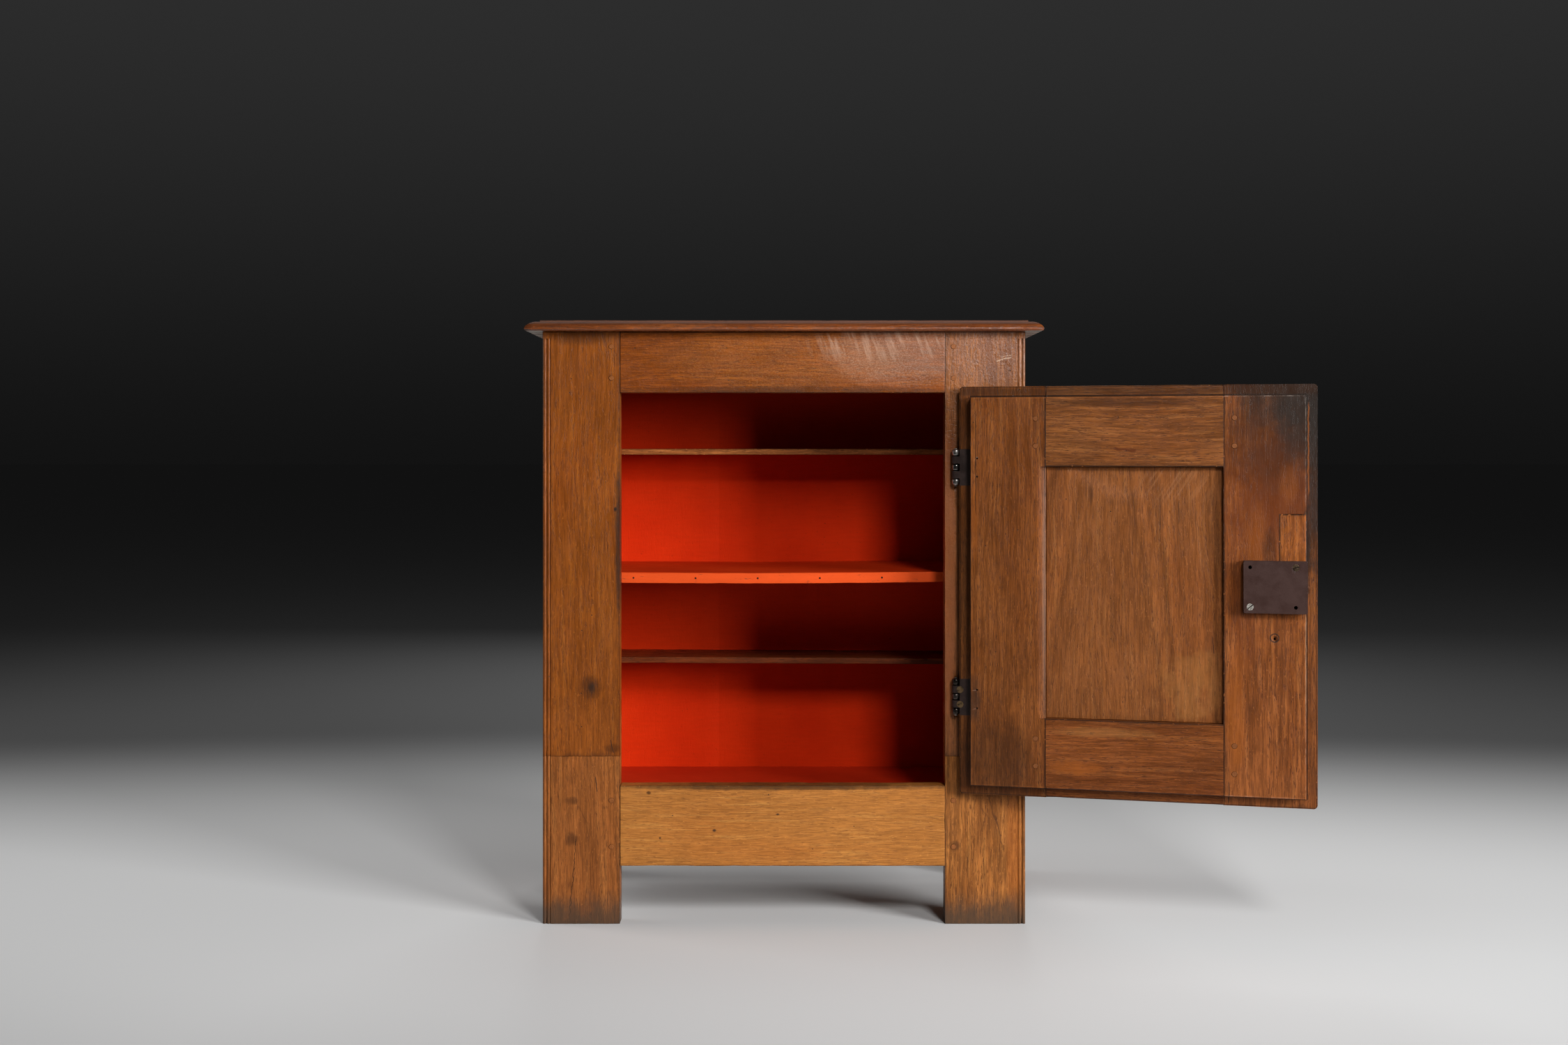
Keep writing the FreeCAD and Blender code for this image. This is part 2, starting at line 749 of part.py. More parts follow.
# Door
door_tenon_y = (door_middle - tenon_thickness / 2, door_middle + tenon_thickness / 2)
door_groove_y = (door_middle - panel_tongue / 2, door_middle + panel_tongue / 2)
door_depth = raised_face - lip_front


def door_pegs(radius):
    rods = []
    for x in (panel_left - door_peg_inset, panel_right + door_peg_inset):
        for z in (lip_top - door_peg_outer, lip_top - door_peg_inner,
                  lip_bottom + door_peg_outer, lip_bottom + door_peg_inner):
            rods.append(rod((x, lip_front, z), (0, 1, 0), radius, door_depth))
    return rods


def door_blank():
    """Whole door frame: rounded lip with the thicker part that fits into the opening."""
    lip = block((lip_left, lip_right), (lip_front, lip_back), (lip_bottom, lip_top))
    corners = [edge for edge in lip.Edges if abs(edge.tangentAt(edge.FirstParameter).y) > 0.5]
    lip = lip.makeFillet(lip_corner_radius, corners)
    rim = [edge for edge in lip.Edges if edge.BoundBox.YMax < lip_front + lip_thickness / 2]
    lip = lip.makeFillet(lip_edge_radius, rim)
    raised = block((raised_left, raised_right), (lip_back, raised_face), (raised_bottom, raised_top))
    through = (lip_front - reach, raised_face + reach)
    opening = block((panel_left, panel_right), through, (panel_bottom, panel_top))
    return join(lip, raised).cut(opening)


def door_leaf_space(middle):
    half = hinge_height / 2
    across = (raised_right - door_leaf_tuck, lip_right)
    return block(across, (leaf_front, lip_back), (middle - half, middle + half))


def door_leaf_nails():
    x = raised_right - hinge_nail_inset
    rods = []
    for middle in hinge_middles:
        for z in (middle - hinge_nail_pitch / 2, middle + hinge_nail_pitch / 2):
            rods.append(rod((x, raised_face, z), (0, -1, 0), nail_radius, door_leaf_nail_length))
    return rods


def slotted_screw(x, face, z, head_radius, shank_radius, length):
    """Countersunk screw along Y, its slotted head level with a face that looks to the back."""
    taper = head_radius - shank_radius
    rim = rod((x, face, z), (0, -1, 0), head_radius, screw_head_rim)
    head = Part.makeCone(head_radius, shank_radius, taper, V(x, face - screw_head_rim, z), V(0, -1, 0))
    shank = rod((x, face, z), (0, -1, 0), shank_radius, length)
    return join(rim, head, shank)


def screw_slot(x, face, z, head_radius, turn):
    half = screw_slot_width / 2
    slot = block((-head_radius, head_radius), (-screw_slot_depth, reach), (-half, half))
    slot.rotate(V(0, 0, 0), V(0, 1, 0), turn)
    slot.translate(V(x, face, z))
    return slot


def patch_space():
    return block((raised_left, raised_left + patch_width), (raised_face - patch_depth, raised_face),
                 (lock_top - patch_tuck, lock_top - patch_tuck + patch_height))


def keyhole(front, back):
    """Keyhole cut between two Y values: a round eye with a slot under it."""
    eye = rod((key_x, front, key_z), (0, 1, 0), key_round_radius, back - front)
    slot = block((key_x - key_slot_width / 2, key_x + key_slot_width / 2), (front, back),
                 (key_z - key_slot_length, key_z))
    return join(eye, slot)


def plug_hole():
    x = raised_left + plug_hole_inset
    z = lock_bottom - plug_hole_drop
    hole = rod((x, raised_face, z), (0, -1, 0), plug_hole_diameter / 2, plug_hole_depth)
    sink = rod((x, raised_face, z), (0, -1, 0), plug_sink_diameter / 2, plug_sink_depth)
    return join(hole, sink)


def chamfer_waste():
    """Worn bevel on the hinge stile's inner arris, along the panel."""
    arris = (panel_right, raised_face, panel_bottom)
    on_face = (panel_right + chamfer_width, raised_face, panel_bottom)
    on_edge = (panel_right, raised_face - chamfer_depth, panel_bottom)
    edges = [line(arris, on_face), line(on_face, on_edge), line(on_edge, arris)]
    return outline(edges, (0, 0, panel_top - panel_bottom))


def build_door_frame():
    blank = door_blank()
    depth = (lip_front - reach, raised_face + reach)
    height = (lip_bottom - reach, lip_top + reach)
    hinge_side = blank.common(block((panel_right, lip_right + reach), depth, height))
    lock_side = blank.common(block((lip_left - reach, panel_left), depth, height))
    between = blank.common(block((panel_left, panel_right), depth, height))
    pegs = door_pegs(peg_hole_radius)
    grooves = [block((panel_left - groove_depth, panel_right + groove_depth), door_groove_y,
                     (panel_bottom - groove_depth, panel_top + groove_depth))]
    tenons = (panel_left - tenon_length, panel_right + tenon_length)
    rail_tenons = {
        "door_top_rail": (panel_top + tenon_shoulder, raised_top - tenon_shoulder),
        "door_bottom_rail": (raised_bottom + tenon_shoulder, panel_bottom - tenon_shoulder),
    }
    tenon_blocks = []
    middle = (panel_bottom + panel_top) / 2
    rail_halves = {"door_top_rail": (middle, height[1]), "door_bottom_rail": (height[0], middle)}
    for name, span in rail_tenons.items():
        tenon = block(tenons, door_tenon_y, span)
        tenon_blocks.append(tenon)
        rail = between.common(block(tenons, depth, rail_halves[name]))
        parts[name] = join(rail, tenon).cut(grooves + pegs)
    shared = tenon_blocks + grooves + pegs
    leaves = [door_leaf_space(z) for z in hinge_middles]
    parts["door_hinge_stile"] = hinge_side.cut(
        shared + leaves + door_leaf_nails() + [chamfer_waste()])
    lock_cuts = [patch_space(), plug_hole(), keyhole(lip_front - reach, raised_face + reach)]
    parts["door_lock_stile"] = lock_side.cut(
        shared + lock_cuts + lock_screw_holes(lock_screw_radius) + escutcheon_pins())
    parts["door_patch"] = patch_space().cut(lock_screw_holes(lock_screw_radius))
    parts["door_pegs"] = group(door_pegs(peg_radius))
    pad = raised_face - door_panel_recess - door_groove_y[1]
    panel = fielded_panel(panel_right - panel_left, panel_top - panel_bottom, pad,
                          door_panel_bevel_width, door_panel_bevel_rise)
    panel.translate(V((panel_left + panel_right) / 2, door_middle, middle))
    parts["door_panel"] = panel


def knuckle_rows(middle):
    """Heights of the five knuckles of a hinge, from the bottom."""
    height = (hinge_height - 4 * knuckle_gap) / 5
    bottom = middle - hinge_height / 2
    return [(bottom + index * (height + knuckle_gap), bottom + index * (height + knuckle_gap) + height)
            for index in range(5)]


def knuckle(row):
    return rod((axis_x, axis_y, row[0]), (0, 0, 1), barrel_radius, row[1] - row[0])


def hinge_bore(middle):
    radius = hinge_pin_radius + hinge_pin_clearance
    return rod((axis_x, axis_y, middle - hinge_height), (0, 0, 1), radius, 2 * hinge_height)


def lower_hinge_brazing():
    """Low lumps of a brazed repair, where the door knuckles of the lower hinge meet the leaf."""
    heights = [(row[0] + row[1]) / 2 for row in knuckle_rows(hinge_middles[1])[1::2]]
    return [rod((axis_x - braze_inset, lip_back, z), (0, 1, 0), braze_radius, braze_height) for z in heights]


def build_hinges():
    pins = []
    for name, middle in zip(("upper", "lower"), hinge_middles):
        rows = knuckle_rows(middle)
        frame_leaf = frame_leaf_space(middle)
        neck_x = (axis_x - leaf_thickness / 2, axis_x + leaf_thickness / 2)
        for row in rows[0::2]:
            frame_leaf = join(frame_leaf, knuckle(row), block(neck_x, (axis_y, 0), row))
        parts[name + "_hinge_frame_leaf"] = frame_leaf.cut([hinge_bore(middle)] + frame_leaf_nails())
        door_leaf = door_leaf_space(middle)
        for row in rows[1::2]:
            neck = block((lip_right, axis_x), (leaf_front, lip_back), row)
            door_leaf = join(door_leaf, knuckle(row), neck)
        parts[name + "_hinge_door_leaf"] = door_leaf.cut([hinge_bore(middle)] + door_leaf_nails())
        bottom = middle - hinge_height / 2 - hinge_pin_proud
        pin_length = hinge_height + 2 * hinge_pin_proud
        pins.append(rod((axis_x, axis_y, bottom), (0, 0, 1), hinge_pin_radius, pin_length))
    parts["hinge_pins"] = group(pins)
    parts["frame_leaf_nails"] = group(frame_leaf_nails())
    parts["door_leaf_nails"] = group(door_leaf_nails())
    parts["lower_hinge_brazing"] = group(lower_hinge_brazing())


lock_hole_x = (lock_left + lock_hole_outer_inset, lock_right - lock_hole_inner_inset)
lock_hole_z = (lock_bottom + lock_hole_end_inset, lock_top - lock_hole_end_inset)
new_screw_place = (lock_hole_x[1], lock_hole_z[0])
old_screw_place = (lock_hole_x[0], lock_hole_z[1])
empty_hole_places = ((lock_hole_x[0], lock_hole_z[0]), (lock_hole_x[1], lock_hole_z[1]))


def lock_screw(place, slot_turn=None):
    head = lock_screw_head_radius
    screw = slotted_screw(place[0], lock_face, place[1], head, lock_screw_radius, lock_screw_length)
    if slot_turn is None:
        return screw
    return screw.cut(screw_slot(place[0], lock_face, place[1], head, slot_turn))


def lock_screw_holes(empty_radius):
    """Holes for the two screws that are left and for the two that are lost."""
    holes = [lock_screw(new_screw_place), lock_screw(old_screw_place)]
    for x, z in empty_hole_places:
        holes.append(rod((x, lock_face, z), (0, -1, 0), empty_radius, lock_screw_length))
    return holes


def bolt():
    """Bolt drawn back into the case: guide slot for the stud, talon for the key."""
    half = bolt_height / 2
    body = block((lock_left, bolt_right), (bolt_front, bolt_back), (lock_middle - half, lock_middle + half))
    slot_right = bolt_right - bolt_slot_margin
    slot = block((stud_x - bolt_slot_height / 2, slot_right), (bolt_front, bolt_back),
                 (lock_middle - bolt_slot_height / 2, lock_middle + bolt_slot_height / 2))
    talon = block((key_x - talon_width / 2, key_x + talon_width / 2), (bolt_front, bolt_back),
                  (lock_middle - half, lock_middle - half + talon_depth))
    return body.cut([slot, talon])


def bolt_spring():
    """Leaf spring on the bolt's tail that bears on the top of the case."""
    under_top = lock_top - lock_wall - bolt_clearance
    bolt_top = lock_middle + bolt_height / 2
    tail = bolt_right - reach
    tip = tail - spring_length
    middle = (bolt_front + bolt_back) / 2
    front = middle - spring_width / 2
    start = (tail - spring_foot, front, bolt_top)
    end = (tip, front, under_top - spring_thickness)
    rise = end[2] - start[2]
    through = ((start[0] + end[0]) / 2, front, start[2] + rise * 2 / 3)
    lifted = [(x, y, z + spring_thickness) for x, y, z in (start, through, end)]
    edges = [arc(start, through, end), arc(*lifted), line(start, lifted[0]), line(end, lifted[2])]
    leaf = outline(edges, (0, spring_width, 0))
    foot_z = (bolt_top, bolt_top + spring_thickness)
    foot = block((tail - spring_foot, tail), (front, front + spring_width), foot_z)
    return join(leaf, foot)


def escutcheon_pins():
    middle = key_z - escutcheon_drop
    span = escutcheon_half_height - escutcheon_pin_margin
    front = lip_front - escutcheon_thickness
    return [rod((key_x, front, z), (0, 1, 0), escutcheon_pin_radius, escutcheon_pin_length)
            for z in (middle - span, middle + span)]


def escutcheon():
    oval = Part.Ellipse(V(0, 0, 0), escutcheon_half_height, escutcheon_half_width).toShape()
    plate = outline([oval], (0, 0, escutcheon_thickness))
    plate.rotate(V(0, 0, 0), V(0, 0, 1), 90)
    plate.rotate(V(0, 0, 0), V(1, 0, 0), 90)
    plate.translate(V(key_x, lip_front, key_z - escutcheon_drop))
    return plate.cut([keyhole(lip_front - 2 * escutcheon_thickness, lip_front)] + escutcheon_pins())


def build_lock():
    case = block((lock_left, lock_right), (raised_face, cover_back), (lock_bottom, lock_top))
    hollow = block((lock_left + lock_wall, lock_right - lock_wall), (raised_face + lock_base, cover_back),
                   (lock_bottom + lock_wall, lock_top - lock_wall))
    mouth_half = bolt_height / 2 + bolt_clearance
    mouth = block((lock_left, lock_left + lock_wall), (raised_face + lock_base, cover_back),
                  (lock_middle - mouth_half, lock_middle + mouth_half))
    stud = rod((stud_x, raised_face, lock_middle), (0, 1, 0), guide_stud_radius, cover_back - raised_face)
    holes = lock_screw_holes(lock_hole_radius)
    case = case.cut([hollow, mouth, keyhole(raised_face - reach, raised_face + lock_base + reach)] + holes)
    parts["lock_case"] = join(case, stud)
    cover = block((lock_left, lock_right), (cover_back, lock_face), (lock_bottom, lock_top))
    corners = [edge for edge in cover.Edges if abs(edge.tangentAt(edge.FirstParameter).y) > 0.5]
    cover = cover.makeFillet(lock_corner_radius, corners)
    pin_length = cover_back - raised_face + key_pin_reach
    key_pin = rod((key_x, cover_back, key_z), (0, -1, 0), key_pin_radius, pin_length)
    parts["lock_cover"] = join(cover.cut(holes), key_pin)
    parts["lock_new_screw"] = lock_screw(new_screw_place, 40)
    parts["lock_old_screw"] = lock_screw(old_screw_place, 15)
    parts["lock_bolt"] = bolt()
    parts["lock_spring"] = bolt_spring()
    parts["escutcheon"] = escutcheon()
    parts["escutcheon_pins"] = group(escutcheon_pins())


swinging = ("door_hinge_stile", "door_lock_stile", "door_top_rail", "door_bottom_rail", "door_panel",
            "door_pegs", "door_patch", "upper_hinge_door_leaf", "lower_hinge_door_leaf", "door_leaf_nails",
            "lower_hinge_brazing", "lock_case", "lock_cover", "lock_new_screw", "lock_old_screw", "lock_bolt",
            "lock_spring", "escutcheon", "escutcheon_pins")


def write_parts():
    os.makedirs("parts", exist_ok=True)
    for name, shape in parts.items():
        placed = shape.copy()
        if name in swinging:
            placed.rotate(V(axis_x, axis_y, 0), V(0, 0, 1), open_angle)
        if len(placed.Solids) == 1:
            placed = placed.Solids[0]
        placed.exportStep("parts/%s.step" % name)


build_front_frame()
build_sides()
build_back()
build_shelves()
build_top()
build_door_frame()
build_hinges()
build_lock()
write_parts()
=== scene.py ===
"""Looks of the small oak cabinet: worn waxed oak, a painted inside, iron fittings, pale floor, studio light.

Everything is in metres in the cabinet's own frame: X to the right along the front, Y to the back, Z up.
"""
import json
import math

import bmesh
import bpy
from mathutils import Matrix, Vector, noise


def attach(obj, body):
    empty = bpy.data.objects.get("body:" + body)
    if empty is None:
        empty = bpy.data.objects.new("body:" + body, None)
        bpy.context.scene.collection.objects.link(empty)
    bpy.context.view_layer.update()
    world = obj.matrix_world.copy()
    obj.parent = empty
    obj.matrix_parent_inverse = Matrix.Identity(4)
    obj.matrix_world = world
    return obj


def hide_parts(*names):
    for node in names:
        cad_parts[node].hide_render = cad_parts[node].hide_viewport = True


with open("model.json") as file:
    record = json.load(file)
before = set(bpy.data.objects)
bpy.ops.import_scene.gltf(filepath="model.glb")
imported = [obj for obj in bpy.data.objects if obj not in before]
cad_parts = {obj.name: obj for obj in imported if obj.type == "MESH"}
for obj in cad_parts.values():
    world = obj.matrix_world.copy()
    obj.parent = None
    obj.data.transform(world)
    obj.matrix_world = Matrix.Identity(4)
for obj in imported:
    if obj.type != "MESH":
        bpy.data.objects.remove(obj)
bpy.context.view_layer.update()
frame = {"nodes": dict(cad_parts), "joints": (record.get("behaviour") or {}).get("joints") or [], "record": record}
nodes = frame["nodes"]

# The door is drawn open. Its boards are worked, and its grain is laid, as if it were closed.
door_joint = next(joint for joint in frame["joints"] if joint["name"] == "door_hinge")
hinge_pin = Vector(door_joint["pos_m"])
open_angle = math.radians(-door_joint["range_deg"][0])
turn_shut = Matrix.Rotation(-open_angle, 4, "Z")
shut = Matrix.Translation(hinge_pin) @ turn_shut @ Matrix.Translation(-hinge_pin)
shut_shift = hinge_pin - turn_shut @ hinge_pin


class Value:
    """A shader socket that takes part in Python expressions."""

    def __init__(self, finish, socket):
        self.finish = finish
        self.socket = socket

    def maths(self, operation, first, second):
        return self.finish.node("ShaderNodeMath", {"operation": operation}, {0: first, 1: second})

    def __add__(self, other):
        return self.maths("ADD", self, other)

    def __radd__(self, other):
        return self.maths("ADD", other, self)

    def __sub__(self, other):
        return self.maths("SUBTRACT", self, other)

    def __rsub__(self, other):
        return self.maths("SUBTRACT", other, self)

    def __mul__(self, other):
        return self.maths("MULTIPLY", self, other)

    def __rmul__(self, other):
        return self.maths("MULTIPLY", other, self)

    def __abs__(self):
        return self.finish.node("ShaderNodeMath", {"operation": "ABSOLUTE"}, {0: self})

    def least(self, other):
        return self.maths("MINIMUM", self, other)

    def most(self, other):
        return self.maths("MAXIMUM", self, other)


class Nodes:
    """A node tree under way. Every node is added by the one method node()."""

    def __init__(self, tree):
        self.tree = tree
        self.noises = {}

    def node(self, kind, settings=None, sockets=None, output=0):
        made = self.tree.nodes.new(kind)
        for name, value in (settings or {}).items():
            setattr(made, name, value)
        for name, value in (sockets or {}).items():
            if isinstance(value, Value):
                self.tree.links.new(value.socket, made.inputs[name])
            else:
                made.inputs[name].default_value = value
        return Value(self, made.outputs[output]) if made.outputs else None

    def split(self, vector):
        made = self.node("ShaderNodeSeparateXYZ", sockets={0: vector})
        outputs = made.socket.node.outputs
        return [Value(self, outputs[index]) for index in range(3)]

    def joined(self, x, y, z):
        return self.node("ShaderNodeCombineXYZ", sockets={0: x, 1: y, 2: z})

    def stretched(self, vector, scale, shift=(0, 0, 0)):
        return self.node("ShaderNodeMapping", {"vector_type": "POINT"}, {
            "Vector": vector, "Scale": scale, "Location": shift})

    def noise(self, vector, scale, detail=2.0, roughness=0.5, distortion=0.0):
        """Noise, made once for each place and set of values."""
        key = (vector.socket.path_from_id(), scale, detail, roughness, distortion)
        if key not in self.noises:
            self.noises[key] = self.node("ShaderNodeTexNoise", {"noise_dimensions": "3D"}, {
                "Vector": vector, "Scale": scale, "Detail": detail, "Roughness": roughness,
                "Distortion": distortion})
        return self.noises[key]

    def step(self, value, low, high, start=0.0, end=1.0):
        """Smooth step from start at low to end at high."""
        return self.node("ShaderNodeMapRange", {"interpolation_type": "SMOOTHSTEP"}, {
            0: value, 1: low, 2: high, 3: start, 4: end})

    def mix(self, share, first, second, blend="MIX"):
        """Mix of two colours."""
        settings = {"data_type": "RGBA", "blend_type": blend, "clamp_factor": True}
        sockets = {0: share}
        for index, colour in ((6, first), (7, second)):
            sockets[index] = colour if isinstance(colour, Value) else (*colour, 1)
        return self.node("ShaderNodeMix", settings, sockets, output=2)

    def grey(self, value):
        return self.joined(value, value, value)

    def tinted(self, colour, value):
        """Colour made lighter or darker by a value round one."""
        return self.mix(1.0, colour, self.grey(value), "MULTIPLY")

    def bump(self, height, distance, strength=1.0):
        return self.node("ShaderNodeBump", sockets={
            "Height": height, "Distance": distance, "Strength": strength})

    def root(self, value):
        return self.node("ShaderNodeMath", {"operation": "SQRT"}, {0: value})


class Finish(Nodes):
    """A material under way, laid out in the cabinet's frame with the door shut."""

    def __init__(self, name, on_door=False):
        self.material = bpy.data.materials.new(name)
        self.material.use_nodes = True
        super().__init__(self.material.node_tree)
        self.shader = self.tree.nodes["Principled BSDF"]
        self.place = self.node("ShaderNodeTexCoord", output="Object")
        if on_door:
            self.place = self.node("ShaderNodeMapping", {"vector_type": "POINT"}, {
                "Vector": self.place, "Location": shut_shift, "Rotation": (0, 0, -open_angle)})

    def feed(self, **sockets):
        """Sets or links the shader's own sockets, named with underscores for spaces."""
        for name, value in sockets.items():
            socket = self.shader.inputs[name.replace("_", " ")]
            if isinstance(value, Value):
                self.tree.links.new(value.socket, socket)
            else:
                socket.default_value = value


def shade(colour, *amounts):
    """Colour times one amount, or times an amount for each of red, green and blue."""
    if len(amounts) == 1:
        amounts = amounts * 3
    return tuple(channel * amount for channel, amount in zip(colour, amounts))


# Colours, linear
pore_brown = (0.03, 0.01, 0.004)
grime_brown = (0.028, 0.011, 0.005)
soot_and_shade_black = (0.018, 0.0135, 0.011)
crevice_brown = (0.013, 0.006, 0.0035)
floor_dirt = (0.05, 0.036, 0.025)
wear_straw = (0.4, 0.18, 0.05)
# Pinkish white of painted highlights and glints on the waxed oak
highlight_pink = (0.42, 0.26, 0.18)
wax_red = (0.1, 0.023, 0.0058)
wax_orange = (0.27, 0.072, 0.01)
paint_orange = (0.67, 0.032, 0.0033)
paint_deep = (0.59, 0.024, 0.0024)
edging_orange = (0.68, 0.075, 0.013)


# Marks on a board: marks of use, and painted light and shade. Each takes the place on the board and the colour so
# far and gives the new colour.
def spread(across, along, centre, half):
    """Squared distance from a mark's centre, which is 1 on its rim."""
    off_a = (across - centre[0]) * (1 / half[0])
    off_l = (along - centre[1]) * (1 / half[1])
    return off_a * off_a + off_l * off_l


def blot(colour, centre, half, strength, ragged=1.2):
    """Soft, ragged spot round a centre (across, along)."""
    def mark(finish, across, depth, along, under):
        edge = finish.noise(finish.place, 45.0, 4.0, 0.6)
        far = spread(across, along, centre, half) + (edge - 0.5) * ragged
        return finish.mix(finish.step(far, 1.25, 0.05) * strength, under, colour)
    return mark


def slit(colour, start, end, half_width, strength, sway=0.002):
    """Thin line such as a crack or a scratch, a little wavy, from start to end (across, along)."""
    start, end = Vector(start), Vector(end)
    length = (end - start).length
    way = (end - start) / length

    def mark(finish, across, depth, along, under):
        waves = finish.noise(finish.place, 70.0, 3.0)
        reach = (across - start.x) * way.x + (along - start.y) * way.y
        off = abs((across - start.x) * way.y - (along - start.y) * way.x + (waves - 0.5) * sway)
        share = finish.step(off, half_width, half_width * 0.3)
        share = share * finish.step(abs(reach - length / 2), length * 0.52, length * 0.42)
        return finish.mix(share * strength, under, colour)
    return mark


def hoop(colour, centre, radius, half_width, strength):
    """Ring, as round a plug."""
    def mark(finish, across, depth, along, under):
        off_a = across - centre[0]
        off_l = along - centre[1]
        reach = finish.root(off_a * off_a + off_l * off_l)
        share = finish.step(abs(reach - radius), half_width, half_width * 0.3) * strength
        return finish.mix(share, under, colour)
    return mark


def outline(colour, low, high, offset, half_width, strength, broken=0.0):
    """Line round a rectangle, at an offset outside it. Broken leaves gaps in it."""
    def mark(finish, across, depth, along, under):
        beyond = (low[0] - across).most(across - high[0]).most(low[1] - along).most(along - high[1])
        share = finish.step(abs(beyond - offset), half_width, half_width * 0.35) * strength
        if broken:
            gaps = finish.noise(finish.place, 60.0, 3.0, 0.6)
            share = share * finish.step(gaps, 0.5 + 0.1 * broken, 0.5 - 0.2 * broken, 1 - broken, 1.0)
        return finish.mix(share, under, colour)
    return mark


def slanting_rays(colour, centre, half, slant, strength):
    """Pale ray flecks of quartered oak, which cross the grain on the slant."""
    def mark(finish, across, depth, along, under):
        lean = along + across * slant
        rays = finish.noise(finish.joined(lean * 115.0, across * 16.0, 3.1), 1.0, 2.0, 0.5)
        fine = finish.noise(finish.joined(lean * 520.0, across * 60.0, 7.7), 1.0, 2.0, 0.5)
        edge = finish.noise(finish.place, 30.0, 3.0)
        near = finish.step(spread(across, along, centre, half) + (edge - 0.5), 1.1, 0.1)
        share = finish.step(rays, 0.43, 0.66) * finish.step(fine, 0.3, 0.6, 0.4, 1.0)
        return finish.mix(share * near * strength, under, colour)
    return mark


def wax_flecks_and_glints(colour, centre, half, pitch, strength):
    """Patch of small pale flecks: milky wax, and painted glints of light on the wax."""
    def mark(finish, across, depth, along, under):
        flecks = finish.noise(finish.joined(across * pitch, depth, along * pitch * 0.7), 1.0, 5.0, 0.75, 0.6)
        edge = finish.noise(finish.place, 22.0, 3.0)
        near = finish.step(spread(across, along, centre, half) + (edge - 0.5), 1.2, 0.2)
        return finish.mix(finish.step(flecks, 0.42, 0.7) * near * strength, under, colour)
    return mark


def above(colour, height, blur, strength):
    """Darker or lighter from a height in the board's thickness upwards."""
    def mark(finish, across, depth, along, under):
        return finish.mix(finish.step(depth, height - blur, height + blur) * strength, under, colour)
    return mark


def pale_under_ends(colour, height, middle, half):
    """Pale grey under the overhanging ends of a board, from a height downwards."""
    def mark(finish, across, depth, along, under):
        patchy = finish.step(finish.noise(finish.place, 60.0, 3.0, 0.6), 0.3, 0.6, 0.75, 1.0)
        beyond = finish.step(abs(along - middle), half - 0.004, half)
        return finish.mix(finish.step(depth, height, height - 0.0003) * beyond * patchy, under, colour)
    return mark


# Axes across the grain, through the board and along the grain, for each way that a board lies
grain_axes = {"upright": (0, 1, 2), "crosswise": (2, 1, 0), "side_upright": (1, 0, 2),
              "side_crosswise": (2, 0, 1), "flat": (1, 2, 0)}


